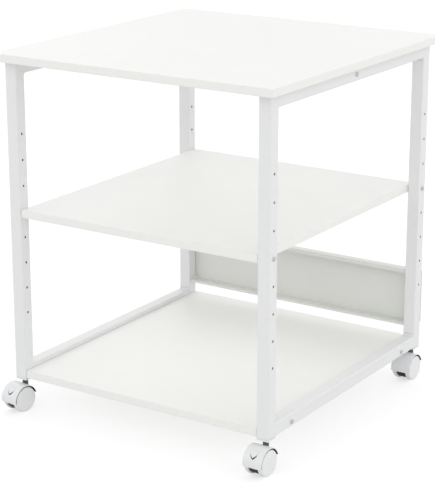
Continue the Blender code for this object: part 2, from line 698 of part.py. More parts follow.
def add_lever(bench, holder, corner):
    """The brake tab in the hood's window, on a pivot between the core's ears."""
    name = "brake_lever_" + corner
    half_arm = PIVOT_RADIUS * ARM_SHARE
    arm_angle = math.degrees(half_arm / HOOD_INNER)
    tip = hood_point(HOOD_OUTER + LEVER_TIP_LIFT, LEVER_TIP_ANGLE)
    outline = [tip] + arc(HOOD_OUTER, LEVER_TIP_ANGLE + ARC_STEP, LEVER_TOP_ANGLE)
    outline += [
        hood_point(HOOD_INNER, LEVER_TOP_ANGLE),
        hood_point(PIVOT_REACH, PIVOT_ANGLE + arm_angle),
        hood_point(PIVOT_REACH, PIVOT_ANGLE - arm_angle),
        hood_point(HOOD_INNER, PIVOT_ANGLE - arm_angle),
    ]
    outline += arc(HOOD_INNER, PIVOT_ANGLE - ARC_STEP, LEVER_TIP_ANGLE)
    # the lever's origin is its pivot
    outline = [(y - PIVOT_Y, z - PIVOT_Z) for y, z in outline]
    mesh = outline_mesh(name, outline, LEVER_WIDTH)
    place = (0.0, PIVOT_Y, PIVOT_Z)
    lever = bench.piece(name, mesh, "white_plastic", holder, place)
    length = CORE_WIDTH - 2 * TOUCH_GAP
    mesh = rods_mesh(name + "_pivot", PIVOT_RADIUS, length, "X", [(0, 0, 0)], PIN_SIDES)
    combine(lever, bench.cutter(name + "_pivot", mesh, holder, place), "UNION")


def wheel_profile():
    """From the crowned outer face round the tread to the blind bore, +Z outwards."""
    face = WHEEL_WIDTH
    edge = face - WHEEL_CROWN
    bore = AXLE_RADIUS + RUNNING_GAP
    depth = AXLE_HOLD + WHEEL_SIDE_GAP + BORE_ALLOWANCE
    return [
        (0.0, face),
        (WHEEL_RADIUS - WHEEL_DISC_INSET, edge),
        (WHEEL_RADIUS - WHEEL_ARRIS, edge - WHEEL_CROWN),
        (WHEEL_RADIUS, edge - WHEEL_CROWN - WHEEL_ARRIS),
        (WHEEL_RADIUS, WHEEL_ARRIS),
        (WHEEL_RADIUS - WHEEL_ARRIS, 0.0),
        (bore, 0.0),
        (bore, depth),
        (0.0, depth),
    ]


def add_wheels(bench, holder, corner):
    for side, sx in SIDES:
        name = "wheel_" + corner + "_" + side
        place = (sx * WHEEL_INNER_X, -CASTER_TRAIL, AXLE_Z)
        mesh = profile_mesh(name, wheel_profile())
        wheel = bench.piece(name, mesh, "wheel_plastic", holder, place)
        wheel.rotation_euler = facing(side_direction(sx))
        turn_solid(wheel, WHEEL_SIDES)
        shade_round(wheel.data)


def add_axle(bench, holder, corner):
    name = "axle_" + corner
    length = 2 * (WHEEL_INNER_X + AXLE_HOLD)
    mesh = rods_mesh(name, AXLE_RADIUS, length, "X", [(0, 0, 0)], PIN_SIDES)
    bench.piece(name, mesh, "steel", holder, (0.0, -CASTER_TRAIL, AXLE_Z))
    shade_round(mesh)


def add_caster(bench, stand, corner, sx, sy):
    """One caster about its stem axis, turned as it stands at rest."""
    foot = (sx * POST_X, sy * POST_Y, 0.0)
    fixed = bench.empty("foot_" + corner, stand, foot)
    add_socket(bench, fixed, corner)
    turn = math.radians(CASTER_TURN[corner])
    swivel = bench.empty("swivel_" + corner, stand, foot, turn)
    braked = corner in BRAKED
    add_stem(bench, swivel, corner)
    add_core(bench, swivel, corner, braked)
    add_hood(bench, swivel, corner, braked)
    add_axle(bench, swivel, corner)
    add_wheels(bench, swivel, corner)
    if braked:
        add_lever(bench, swivel, corner)


def main():
    clear_scene()
    bench = Bench()
    stand = bench.empty("stand", location=(0.0, STAND_Y, 0.0))
    add_top_board(bench, stand)
    add_shelf(bench, stand, "middle_shelf", MIDDLE_SHELF_Z, POST_Y, SHELF_SCREW_Z)
    add_shelf(bench, stand, "bottom_shelf", BOTTOM_SHELF_Z, BOTTOM_SCREW_REACH, BOTTOM_SHELF_Z)
    add_side_frames(bench, stand)
    add_brace(bench, stand)
    add_back_panel(bench, stand)
    for corner, sx, sy in CORNERS:
        add_caster(bench, stand, corner, sx, sy)
    bpy.context.view_layer.update()


main()
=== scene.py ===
"""Looks of the mobile printer stand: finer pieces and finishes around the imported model.

Metres, +Z up, the open front faces -Y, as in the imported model.  Boards, tubes, sheet
metal, screws and casters are each rebuilt with their real edges, folds, welds and rims,
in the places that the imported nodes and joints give.
"""

import json
import math

import bmesh
import bpy
from mathutils import Matrix, Vector


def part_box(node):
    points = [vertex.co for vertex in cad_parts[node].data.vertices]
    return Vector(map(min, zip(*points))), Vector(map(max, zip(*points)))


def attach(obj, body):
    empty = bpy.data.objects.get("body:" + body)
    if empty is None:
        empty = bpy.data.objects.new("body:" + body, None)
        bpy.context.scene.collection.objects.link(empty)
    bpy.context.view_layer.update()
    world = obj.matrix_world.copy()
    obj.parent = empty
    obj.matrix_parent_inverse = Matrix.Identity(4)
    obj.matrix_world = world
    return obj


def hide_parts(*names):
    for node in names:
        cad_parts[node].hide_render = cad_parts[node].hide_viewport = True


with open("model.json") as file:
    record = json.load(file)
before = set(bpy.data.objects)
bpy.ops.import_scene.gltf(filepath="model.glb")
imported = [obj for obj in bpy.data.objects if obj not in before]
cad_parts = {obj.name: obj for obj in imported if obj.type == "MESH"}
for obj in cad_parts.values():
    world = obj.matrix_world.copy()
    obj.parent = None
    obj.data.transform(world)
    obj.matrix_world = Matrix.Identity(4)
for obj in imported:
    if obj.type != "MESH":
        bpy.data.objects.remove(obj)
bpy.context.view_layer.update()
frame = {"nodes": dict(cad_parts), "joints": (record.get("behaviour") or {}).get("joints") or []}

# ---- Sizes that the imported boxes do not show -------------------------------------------

# Boards
BAND = 0.0010               # edge band glued round each board
BAND_ARRIS = 0.0008         # its rounded outer edges
BAND_CORNER = 0.0022        # upright corners of the band
SEAM = 0.00015              # small chamfer on both sides of the glue line

# Square tube
TUBE_WALL = 0.0012
TUBE_CORNER = 0.0022
TUBE_END_CHAMFER = 0.0003
HOLE_RADIUS = 0.0025
HOLE_PITCH = 0.050
HOLE_COUNT = 8
FIRST_HOLE_DROP = 0.1375
HOLE_SIDES = 28
RIM_RADIUS = 0.00028        # paint lip round a punched hole
JOINT_GAP = 0.0003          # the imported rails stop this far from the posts

# Welds
BEAD_LEG = 0.0052
BEAD_FULLNESS = 0.56         # how far a corner bead fills between its legs
BEAD_RIPPLE = 0.0013        # from one ripple to the next
BEAD_RIPPLE_HEIGHT = 0.05   # share of the bead's size
BEAD_STEP = 0.0003
SEAM_BEAD = 0.00016

# Sheet metal
SHEET = 0.0012
PANEL_BEND = 0.0021         # outer radius of a fold
UPPER_LIP = 0.0075
LOWER_LIP = 0.0046
FLANGE_SIDE_GAP = 0.0015
BRACE_SHEET = 0.0015
BRACE_BEND = 0.0024
SHEET_ARRIS = 0.00025

# Screws
HEAD_RADIUS = 0.0042
HEAD_HEIGHT = 0.0024
HEAD_EDGE = 0.0009          # straight side of a head
SHANK_RADIUS = 0.002
SHANK_SHOW = 0.003          # shank modelled below the seat
SHANK_TIP = 0.0014
SHANK_POINT = 0.0006
HEAD_CENTRE = 0.00105       # flat middle of a head
HEAD_ROUND_IN = 1.25        # the crown's curve, as shares of its height
HEAD_ROUND_UP = 0.86
HEAD_STEPS = 7
SLOT = (0.0046, 0.0009, 0.00027)            # length, width and corners of the recess
SLOT_FOOT = (0.00207, 0.00054, 0.000135)    # and at its foot
SLOT_DEPTH = 0.0015
SLOT_OVERCUT = 0.00045
HEAD_EASE = 0.0003          # rounded lower edge of a head
SCREW_TURN = 1.13           # radians from one screw's recess to the next

# Caster
WHEEL_WIDTH = 0.0098
WHEEL_ARRIS = 0.0009
WHEEL_STRAIGHT = 0.00539    # the tread is straight this far out
WHEEL_CENTRE = 0.0004       # flat middle of the disc
WHEEL_TAPER = 0.0011        # the tread narrows by this to the shoulder
WHEEL_SHOULDER = 0.0017
WHEEL_CROWN = 0.0006
WHEEL_GROOVE = 0.00022
WHEEL_GROOVE_INSET = 0.0034 # groove inside the tread
AXLE_RADIUS = 0.003
AXLE_HOLD = 0.0065
HOOD_GAP = 0.0016
HOOD_WALL = 0.0013
HOOD_WIDTH = 0.0408
HOOD_CROWN = 0.0003         # the hood's sides lie this far inside its middle line
HOOD_SHOULDER = 0.0007
HOOD_FRONT = -9.0           # degrees above the forward horizontal, about the axle
HOOD_REAR = 163.0
HOOD_ARRIS = 0.0004
RIM_EASE = 0.0002           # eased lower edges of the hood's sides
MOULD_ARRIS = 0.0004        # edges of the core and the tongue
SHADE_LINING = 0.0009             # black sheet inside the hood: painted shade that darkens the gap between hood and wheels
SHADE_LINING_LAP = 0.0003         # let into the hood
SHADE_LINING_INSET = 0.0002       # its side edges behind the hood's
SHADE_LINING_END = 1.5            # degrees short of the hood's ends
CORE_RADIUS = 0.019
CORE_SKIRT = 0.0228         # its lower part fills the space between the wheels
SKIRT_TOP = 20.0            # degrees, as the next five
SKIRT_END = -135.0
CORE_FRONT = 60.0
CORE_TOP_END = 88.0
CORE_STEP = 4.0
CORE_TOP_STEP = 3.0
CORE_WIDTH = 0.0198
CORE_BACK = 0.0077
STEM_RADIUS = 0.004
COLLAR_RADIUS = 0.0055
COLLAR_FOOT_RISE = 0.0128   # lower end of the collar above the axle
STEM_FOOT_DROP = 0.0095     # lower end of the stem below the axle
STEM_IN_SOCKET = 0.018
STEM_CHAMFER = 0.0005
STEM_GROOVE = 0.0006        # snap-ring groove, its depth and its width
RUNNING_GAP = 0.0003
SOCKET_FLANGE = 0.004
SOCKET_PLUG = 0.022
SOCKET_PLAY = 0.0008        # the plug is smaller than the tube by this
SOCKET_LEAD = 0.0010        # lead-in at the plug's top
SOCKET_EASE = 0.0005
SOCKET_SEAM = 0.0003        # under the end of the post
SOCKET_CORNER = 0.00176

# Brake tongue
TONGUE_WIDTH = 0.013
TONGUE_TIP = 29.0
TONGUE_TOP = 64.0
TONGUE_LIFT = 0.0016        # the tip stands proud of the hood
TONGUE_POINT = 0.0095       # length of the rounded point
TONGUE_WALL = 0.0013
TONGUE_SINK = 0.00006       # its top under the hood's crown
ARM_HALF = 0.0018
WINDOW_GAP = 0.0003         # round the sides of the tongue
WINDOW_TOP_GAP = 0.2        # degrees above the tongue
WINDOW_DROP = 6.0           # degrees kept free below the tip, for the tongue's stroke
PIVOT_RADIUS = 0.002
EAR_RADIUS = 0.0038
EAR_THICKNESS = 0.0030

# Facets
ARC_STEPS = 5               # facets of a quarter turn on small edges
ROUND_SIDES = 40
PIN_SIDES = 24
BORE_SIDES = 32
STEM_SIDES = 48
WHEEL_SIDES = 112
HOOD_STEP = 2.0             # degrees
HOOD_CROWN_STEPS = 12
TONGUE_ROWS = 30
TONGUE_COLUMNS = 12

# Finishes: base colour and roughness
BOARD_WHITE = (0.930, 0.928, 0.912)
BAND_WHITE = (0.905, 0.905, 0.880)
PAINT_WHITE = (0.842, 0.848, 0.848)
PANEL_GREY = (0.788, 0.798, 0.768)
HOOD_WHITE = (0.840, 0.850, 0.858)
WHEEL_WHITE = (0.860, 0.864, 0.872)
CORE_BLACK = (0.012, 0.012, 0.014)
ZINC = (0.74, 0.745, 0.755)
DARK_STEEL = (0.115, 0.117, 0.123)
RAW_STEEL = (0.10, 0.095, 0.09)
DUST = (0.72, 0.70, 0.66)
TREAD_SOIL = (0.42, 0.40, 0.37)
NOISE_SPAN = (0.3, 0.7)     # the part of a noise's range that a finish spreads
PATCH_SPAN = (0.35, 0.65)

# Name, colour, worn colour, drift (scale, strength), grain (coarse, fine, fine share),
# relief, roughness (least, most), wear and dust
COATINGS = {
    "board": (
        "white_board_faced", BOARD_WHITE, (0.80, 0.79, 0.76), (9.0, 0.030),
        (420.0, 1900.0, 0.45), 0.00003, (0.38, 0.50), 0.35, 0.05,
    ),
    "band": (
        "white_edge_band", BAND_WHITE, (0.72, 0.71, 0.68), (26.0, 0.045),
        (260.0, 1500.0, 0.50), 0.00003, (0.34, 0.46), 0.45, 0.03,
    ),
    "paint": (
        "white_powder_coat", PAINT_WHITE, (0.70, 0.70, 0.70), (14.0, 0.035),
        (560.0, 2300.0, 0.35), 0.00006, (0.32, 0.44), 0.40, 0.05,
    ),
    "weld": (
        "white_powder_coat_on_weld", PAINT_WHITE, (0.66, 0.66, 0.66), (160.0, 0.08),
        (900.0, 2600.0, 0.40), 0.00010, (0.34, 0.48), 0.50, 0.05,
    ),
    "panel": (
        "grey_powder_coat", PANEL_GREY, (0.52, 0.53, 0.52), (11.0, 0.040),
        (560.0, 2300.0, 0.35), 0.00006, (0.36, 0.48), 0.40, 0.06,
    ),
    "hood": (
        "white_moulded_plastic", HOOD_WHITE, (0.66, 0.67, 0.68), (60.0, 0.035),
        (700.0, 3200.0, 0.50), 0.00005, (0.30, 0.40), 0.20, 0.06,
    ),
    "core": (
        "black_moulded_plastic", CORE_BLACK, (0.05, 0.05, 0.05), (90.0, 0.30),
        (700.0, 3000.0, 0.50), 0.00008, (0.48, 0.62), 0.30, 0.04,
    ),
}

# Name, metallic share, colour, second tone, patches (scale, detail, roughness), their
# edges, roughness (least, most), relief, and whether it shows turning marks
METALS = {
    "zinc": (
        "bright_zinc", 1.0, ZINC, 0.72, (320.0, 4.0, 0.6), PATCH_SPAN, (0.20, 0.42), 0.00002, True,
    ),
    "dark_steel": (
        "blackened_steel", 0.8, DARK_STEEL, 2.2, (380.0, 4.0, 0.6), (0.45, 0.75), (0.26, 0.42), 0.00002,
    ),
    "raw_steel": (
        "raw_tube_steel", 0.55, RAW_STEEL, 0.45, (180.0, 5.0, 0.7), PATCH_SPAN, (0.5, 0.8), 0.00005,
    ),
}

# Studio: the floor glows less into the stand than towards the camera
FLOOR_BOUNCE = 0.32
FLOOR_SHOW = 0.62
SKY_LOW = 0.83
SKY_MIDDLE = 1.43
SKY_TOP = 0.58
SKY_SEEN = 1.0
FLOOR_HALF = 6.0
FLOOR_TONE = (0.44, 0.46)
LIGHT_TARGET = (0.0, 0.0, 0.4)
SOFT_LIGHTS = (
    ("key", (2.4, 2.4), 2.3, (0.4, -1.6, 3.0)),
    ("right", (2.6, 1.6), 4.6, (3.2, 0.0, 1.0)),
    ("back_left", (2.6, 1.8), 3.7, (-2.6, 1.2, 1.6)),
    ("back", (2.6, 1.6), 2.7, (0.3, 3.0, 1.5)),
)
CAMERA_PLACE = (1.723, -2.645, 1.259)
CAMERA_TURN = (73.11, 0.0, 33.21)   # degrees
CAMERA_LENS = 123.2

# ---- Places that the frame gives --------------------------------------------------------

JOINTS = {joint["name"]: joint for joint in frame["joints"]}
SIDES = (("left", -1), ("right", 1))
ENDS = ("front", "rear")
LEVELS = ("upper", "lower")
CORNERS = [(end + "_" + side, sx) for end in ENDS for side, sx in SIDES]
FRAME_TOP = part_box("top_board")[0].z
POST_LOW, POST_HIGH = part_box("post_front_right")
TUBE = POST_HIGH.x - POST_LOW.x
FRAME_HALF = POST_HIGH.x
TUBE_INNER = TUBE - 2 * TUBE_WALL


# ---- Workshop helpers -------------------------------------------------------------------

def new_mesh(name, shape):
    """Closes a bmesh's shells with their faces outwards and hands over a plain mesh."""
    bmesh.ops.recalc_face_normals(shape, faces=shape.faces)
    mesh = bpy.data.meshes.new(name)
    shape.to_mesh(mesh)
    shape.free()
    return mesh


def loft(name, loops, ring=False, caps=True):
    """Skins a row of closed loops of points; a ring joins the last loop to the first."""
    shape = bmesh.new()
    rows = [[shape.verts.new(point) for point in loop] for loop in loops]
    pairs = list(zip(rows, rows[1:]))
    if ring:
        pairs.append((rows[-1], rows[0]))
    for near, far in pairs:
        for i in range(len(near)):
            j = (i + 1) % len(near)
            shape.faces.new((near[i], near[j], far[j], far[i]))
    if caps and not ring:
        shape.faces.new(rows[0])
        shape.faces.new(rows[-1])
    return new_mesh(name, shape)


def rounded_rectangle(width, depth, radius, steps=ARC_STEPS):
    """(x, y) points round a rectangle whose corners are arcs."""
    points = []
    for quarter, (sx, sy) in enumerate(((1, 1), (-1, 1), (-1, -1), (1, -1))):
        x = sx * (width / 2 - radius)
        y = sy * (depth / 2 - radius)
        for i in range(steps + 1):
            turn = math.pi / 2 * (quarter + i / steps)
            points.append((x + radius * math.cos(turn), y + radius * math.sin(turn)))
    return points


def arc_points(centre, radius, start, end, steps=ARC_STEPS):
    """(x, y) points on an arc, both ends in degrees."""
    turns = [math.radians(start + (end - start) * i / steps) for i in range(steps + 1)]
    return [(centre[0] + radius * math.cos(t), centre[1] + radius * math.sin(t)) for t in turns]


def turned(name, profile, sides=ROUND_SIDES):
    """A solid turned about Z from (radius, height) points; flat caps close its ends."""
    loops = []
    for radius, height in profile:
        turns = [2 * math.pi * i / sides for i in range(sides)]
        loops.append([(radius * math.cos(t), radius * math.sin(t), height) for t in turns])
    return loft(name, loops)


def rod(name, radius, length, axis, centre, sides=ROUND_SIDES):
    """A plain rod along X, Y or Z about its centre."""
    mesh = turned(name, [(radius, -length / 2), (radius, length / 2)], sides)
    turns = {
        "X": Matrix.Rotation(math.pi / 2, 4, "Y"),
        "Y": Matrix.Rotation(math.pi / 2, 4, "X"),
        "Z": Matrix.Identity(4),
    }
    mesh.transform(Matrix.Translation(centre) @ turns[axis])
    return mesh


def extruded(name, outline, half_width):
    """An outline of (y, z) points carried along X to both sides."""
    return loft(name, [[(x, y, z) for y, z in outline] for x in (-half_width, half_width)])


def joined(name, meshes):
    """Several meshes as one, each still a closed shell."""
    shape = bmesh.new()
    for mesh in meshes:
        shape.from_mesh(mesh)
        bpy.data.meshes.remove(mesh)
    whole = bpy.data.meshes.new(name)
    shape.to_mesh(whole)
    shape.free()
    return whole


def linked(name, data):
    """An object in the scene for a mesh, a lamp or a camera."""
    made = bpy.data.objects.new(name, data)
    bpy.context.scene.collection.objects.link(made)
    return made


def bench_object(mesh):
    """A passing object that holds a mesh while modifiers work on it."""
    return linked(mesh.name + "_bench", mesh)


def settled(held):
    """The mesh that a bench object's modifiers make; the object is removed."""
    graph = bpy.context.evaluated_depsgraph_get()
    made = held.evaluated_get(graph)
    mesh = bpy.data.meshes.new_from_object(made, preserve_all_data_layers=True, depsgraph=graph)
    mesh.name = held.data.name
    bpy.data.objects.remove(held, do_unlink=True)
    return mesh


def worked(mesh, kind, **settings):
    """The mesh that one modifier makes of it."""
    held = bench_object(mesh)
    modifier = held.modifiers.new("work", kind)
    for key, value in settings.items():
        setattr(modifier, key, value)
    bpy.context.view_layer.update()
    return settled(held)


def cut(mesh, tool, operation="DIFFERENCE"):
    """The mesh with a tool mesh taken away from it, or joined to it."""
    cutter = bench_object(tool)
    made = worked(mesh, "BOOLEAN", operation=operation, solver="EXACT", object=cutter)
    bpy.data.objects.remove(cutter, do_unlink=True)
    return made


def drilled(mesh, holes):
    """The mesh with screw holes through it, each given as (axis, length, place)."""
    rods = [rod("hole", HOLE_RADIUS, length, axis, place, HOLE_SIDES) for axis, length, place in holes]
    return cut(mesh, joined("holes", rods))


def softened(mesh, width, segments=2, angle=35.0):
    """The mesh with its sharp edges rounded."""
    limit = math.radians(angle)
    settings = {"segments": segments, "limit_method": "ANGLE", "angle_limit": limit}
    return worked(mesh, "BEVEL", width=width, **settings)


def thickened(mesh, thickness):
    """An open sheet with its wall built behind its outer face."""
    return worked(mesh, "SOLIDIFY", thickness=thickness, offset=-1.0, use_even_offset=True)


def shaded(mesh, angle=38.0):
    """Smooth shading that keeps flat faces flat beside their rounded edges."""
    mesh.shade_smooth()
    mesh.set_sharp_from_angle(angle=math.radians(angle))
    return worked(mesh, "WEIGHTED_NORMAL", keep_sharp=True)


def mark_arrises(mesh, flatness=0.985):
    """Writes 1 in the attribute "arris" on faces that lie between the main directions."""
    mask = mesh.attributes.new("arris", "FLOAT", "FACE")
    for face, value in zip(mesh.polygons, mask.data):
        value.value = 0.0 if max(abs(part) for part in face.normal) > flatness else 1.0
    return mesh


def add_piece(name, mesh, finish, body="frame", replaced=()):
    """Shows a finished mesh, riding on its body in place of the nodes it stands for."""
    piece = linked(name, mesh)
    if not mesh.materials:
        mesh.materials.append(FINISHES[finish])
    mesh.materials[0] = FINISHES[finish]
    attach(piece, body)
    if replaced:
        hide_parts(*replaced)
    return piece


# ---- Node helpers -----------------------------------------------------------------------

def add_node(tree, kind, inputs=None, **settings):
    """A node with its settings, its inputs linked or set by name or number."""
    node = tree.nodes.new(kind)
    for key, value in settings.items():
        setattr(node, key, value)
    for key, value in (inputs or {}).items():
        socket = node.inputs[key]
        if isinstance(value, bpy.types.NodeSocket):
            tree.links.new(value, socket)
        else:
            socket.default_value = value
    return node


def join(tree, node, values):
    """Links each value to the node's input of that name."""
    for name, value in values.items():
        tree.links.new(value, node.inputs[name])


def maths(tree, operation, a, b=0.0, clamp=False):
    node = add_node(tree, "ShaderNodeMath", {0: a, 1: b}, operation=operation, use_clamp=clamp)
    return node.outputs[0]


def mix_colour(tree, share, a, b):
    node = add_node(tree, "ShaderNodeMix", {0: share, 6: a, 7: b}, data_type="RGBA")
    return node.outputs[2]


def noise(tree, coordinates, scale, detail=2.0, roughness=0.5):
    sockets = {"Vector": coordinates, "Scale": scale, "Detail": detail, "Roughness": roughness}
    return add_node(tree, "ShaderNodeTexNoise", sockets).outputs[0]


def spread(tree, value, low, high, start=0.0, end=1.0):
    """A value's range start to end carried to low to high, and held there."""
    sockets = {0: value, 1: start, 2: end, 3: low, 4: high}
    return add_node(tree, "ShaderNodeMapRange", sockets).outputs[0]


def new_group(name, kind, inputs, outputs):
    """An empty node group, its sockets listed by type: (tree, its given sockets, its output)."""
    tree = bpy.data.node_groups.new(name, kind + "NodeTree")
    for in_out, sockets in (("INPUT", inputs), ("OUTPUT", outputs)):
        for socket_type, names in sockets.items():
            for socket in names:
                tree.interface.new_socket(socket, in_out=in_out, socket_type="NodeSocket" + socket_type)
    return tree, tree.nodes.new("NodeGroupInput").outputs, tree.nodes.new("NodeGroupOutput")


def place_group(tree, group, inputs):
    return add_node(tree, "ShaderNodeGroup", inputs, node_tree=group).outputs


def attribute(tree, name):
    return add_node(tree, "ShaderNodeAttribute", attribute_name=name).outputs["Fac"]


def scaled_place(tree, place, factors):
    node = add_node(tree, "ShaderNodeVectorMath", {0: place, 1: factors}, operation="MULTIPLY")
    return node.outputs[0]


# ---- Shader groups ----------------------------------------------------------------------

def make_mottle():
    """A colour that drifts a little lighter and darker over the surface."""
    tree, given, made = new_group(
        "colour_mottle", "Shader",
        {"Vector": ["Coordinates"], "Color": ["Colour"], "Float": ["Scale", "Strength"]},
        {"Color": ["Colour"]},
    )
    drift = noise(tree, given["Coordinates"], given["Scale"], 4.0, 0.6)
    swing = maths(tree, "MULTIPLY", maths(tree, "SUBTRACT", drift, 0.5), given["Strength"])
    sockets = {0: given["Colour"], "Scale": maths(tree, "ADD", swing, 1.0)}
    scaled = add_node(tree, "ShaderNodeVectorMath", sockets, operation="SCALE")
    join(tree, made, {"Colour": scaled.outputs[0]})
    return tree


def make_grain():
    """Two sizes of fine texture, as one height and one roughness."""
    numbers = ["Coarse scale", "Fine scale", "Fine share", "Smoothest", "Roughest"]
    tree, given, made = new_group(
        "surface_grain", "Shader",
        {"Vector": ["Coordinates"], "Float": numbers},
        {"Float": ["Height", "Roughness"]},
    )
    place = given["Coordinates"]
    coarse = noise(tree, place, given["Coarse scale"], 2.0)
    fine = noise(tree, place, given["Fine scale"], 1.0)
    fine_part = maths(tree, "MULTIPLY", fine, given["Fine share"])
    coarse_share = maths(tree, "SUBTRACT", 1.0, given["Fine share"])
    height = maths(tree, "ADD", fine_part, maths(tree, "MULTIPLY", coarse, coarse_share))
    rough = spread(tree, coarse, given["Smoothest"], given["Roughest"], *NOISE_SPAN)
    join(tree, made, {"Height": height, "Roughness": rough})
    return tree


def make_wear():
    """Rubbed edges: a second colour that breaks up along the marked arrises."""
    tree, given, made = new_group(
        "edge_wear", "Shader",
        {"Vector": ["Coordinates"], "Color": ["Colour", "Worn colour"], "Float": ["Edge", "Amount"]},
        {"Color": ["Colour"]},
    )
    patches = noise(tree, given["Coordinates"], 70.0, 5.0, 0.65)
    broken = spread(tree, patches, 0.0, 1.0, 0.42, 0.68)
    mask = maths(tree, "MULTIPLY", broken, given["Edge"])
    mask = maths(tree, "MULTIPLY", mask, given["Amount"], clamp=True)
    join(tree, made, {"Colour": mix_colour(tree, mask, given["Colour"], given["Worn colour"])})
    return tree


def make_dust():
    """Dust that settles on faces that look up, duller and a little warmer."""
    tree, given, made = new_group(
        "settled_dust", "Shader",
        {
            "Vector": ["Coordinates"],
            "Color": ["Colour", "Dust colour"],
            "Float": ["Roughness", "Amount"],
        },
        {"Color": ["Colour"], "Float": ["Roughness"]},
    )
    normal = add_node(tree, "ShaderNodeNewGeometry").outputs["Normal"]
    upward = add_node(tree, "ShaderNodeSeparateXYZ", {0: normal}).outputs[2]
    level = maths(tree, "POWER", maths(tree, "MAXIMUM", upward, 0.0), 2.0)
    patches = noise(tree, given["Coordinates"], 16.0, 6.0, 0.7)
    lying = maths(tree, "MULTIPLY", level, spread(tree, patches, 0.3, 1.0, *PATCH_SPAN))
    mask = maths(tree, "MULTIPLY", lying, given["Amount"], clamp=True)
    colour = mix_colour(tree, mask, given["Colour"], given["Dust colour"])
    dull = maths(tree, "MULTIPLY", mask, 0.5)
    rough = maths(tree, "ADD", given["Roughness"], dull, clamp=True)
    join(tree, made, {"Colour": colour, "Roughness": rough})
    return tree


def make_scuffs():
    """Short rubbed marks, drawn out along the axes that the stretch makes small."""
    tree, given, made = new_group(
        "rubbed_scuffs", "Shader",
        {"Vector": ["Coordinates", "Stretch"], "Float": ["Scale"]},
        {"Float": ["Mask"]},
    )
    drawn = scaled_place(tree, given["Coordinates"], given["Stretch"])
    marks = noise(tree, drawn, given["Scale"], 4.0, 0.7)
    join(tree, made, {"Mask": spread(tree, marks, 0.0, 1.0, 0.52, 0.72)})
    return tree


MOTTLE = make_mottle()
GRAIN = make_grain()
WEAR = make_wear()
DUSTING = make_dust()
SCUFFS = make_scuffs()


# ---- Finishes ---------------------------------------------------------------------------

def start_finish(name, metallic=0.0):
    """A material with its shader and object coordinates: (material, tree, shader, place)."""
    material = bpy.data.materials.new(name)
    material.use_nodes = True
    tree = material.node_tree
    shader = tree.nodes["Principled BSDF"]
    shader.inputs["Metallic"].default_value = metallic
    place = add_node(tree, "ShaderNodeTexCoord").outputs["Object"]
    return material, tree, shader, place


def dress(tree, shader, colour, rough, height, depth):
    """Colour, roughness and fine relief into the shader."""
    relief = add_node(tree, "ShaderNodeBump", {"Height": height, "Distance": depth, "Strength": 1.0})
    values = {"Base Color": colour, "Roughness": rough, "Normal": relief.outputs["Normal"]}
    join(tree, shader, values)


def mottled(tree, place, colour, scale, strength):
    values = {"Coordinates": place, "Colour": (*colour, 1.0), "Scale": scale, "Strength": strength}
    return place_group(tree, MOTTLE, values)["Colour"]


def grained(tree, place, grain, rough):
    """The grain group from (coarse, fine, fine share) and (smoothest, roughest)."""
    names = ("Coarse scale", "Fine scale", "Fine share", "Smoothest", "Roughest")
    return place_group(tree, GRAIN, {"Coordinates": place, **dict(zip(names, grain + rough))})


def coated(name, colour, worn, drift, grain, depth, rough, wear, dust):
    """A painted, faced or moulded finish, from the shared groups."""
    material, tree, shader, place = start_finish(name)
    texture = grained(tree, place, grain, rough)
    values = {
        "Coordinates": place,
        "Colour": mottled(tree, place, colour, *drift),
        "Worn colour": (*worn, 1.0),
        "Edge": attribute(tree, "arris"),
        "Amount": wear,
    }
    rubbed = place_group(tree, WEAR, values)["Colour"]
    values = {
        "Coordinates": place,
        "Colour": rubbed,
        "Roughness": texture["Roughness"],
        "Dust colour": (*DUST, 1.0),
        "Amount": dust,
    }
    dusty = place_group(tree, DUSTING, values)
    dress(tree, shader, dusty["Colour"], dusty["Roughness"], texture["Height"], depth)
    return material


def make_wheel_finish():
    """Pale moulded wheel, its tread greyed and scuffed where it rolls."""
    material, tree, shader, place = start_finish("wheel_plastic_scuffed")
    base = mottled(tree, place, WHEEL_WHITE, 60.0, 0.05)
    values = {"Coordinates": place, "Scale": 260.0, "Stretch": (1.0, 0.35, 0.35)}
    marks = place_group(tree, SCUFFS, values)["Mask"]
    soiled = maths(tree, "MULTIPLY", maths(tree, "ADD", marks, 0.25), attribute(tree, "tread"))
    share = maths(tree, "MULTIPLY", soiled, 0.30, clamp=True)
    colour = mix_colour(tree, share, base, (*TREAD_SOIL, 1.0))
    texture = grained(tree, place, (500.0, 2600.0, 0.5), (0.34, 0.46))
    rough = maths(tree, "ADD", texture["Roughness"], share, clamp=True)
    dress(tree, shader, colour, rough, texture["Height"], 0.00004)
    return material


def metal(name, metallic, colour, second, patch, edges, rough, depth, turned_marks=False):
    """A metal with patches of a second tone; a turned one also has fine marks round its axis."""
    material, tree, shader, place = start_finish(name, metallic)
    patches = noise(tree, place, *patch)
    share = spread(tree, patches, 0.0, 1.0, *edges)
    patch_colour = tuple(part * second for part in colour)
    tone = mix_colour(tree, share, (*colour, 1.0), (*patch_colour, 1.0))
    texture = patches
    if turned_marks:
        texture = noise(tree, scaled_place(tree, place, (0.12, 0.12, 1.0)), 5200.0, 2.0)
    dress(tree, shader, tone, spread(tree, texture, *rough, *NOISE_SPAN), texture, depth)
    return material


FINISHES = {key: coated(*values) for key, values in COATINGS.items()}
FINISHES["wheel"] = make_wheel_finish()
FINISHES.update({key: metal(*values) for key, values in METALS.items()})


# ---- Geometry Nodes: screws, hole rims and weld beads -----------------------------------

def node_result(name, mesh, group, values, finish):
    """Runs a tree on a guide mesh and returns the plain mesh that it makes."""
    held = bench_object(mesh)
    nodes = held.modifiers.new(name, "NODES")
    nodes.node_group = group
    values = {**values, "Material": FINISHES[finish]}
    for item in group.interface.items_tree:
        if item.in_out == "INPUT" and item.name in values:
            nodes[item.identifier] = values[item.name]
    bpy.context.view_layer.update()
    made = settled(held)
    made.name = name
    return made


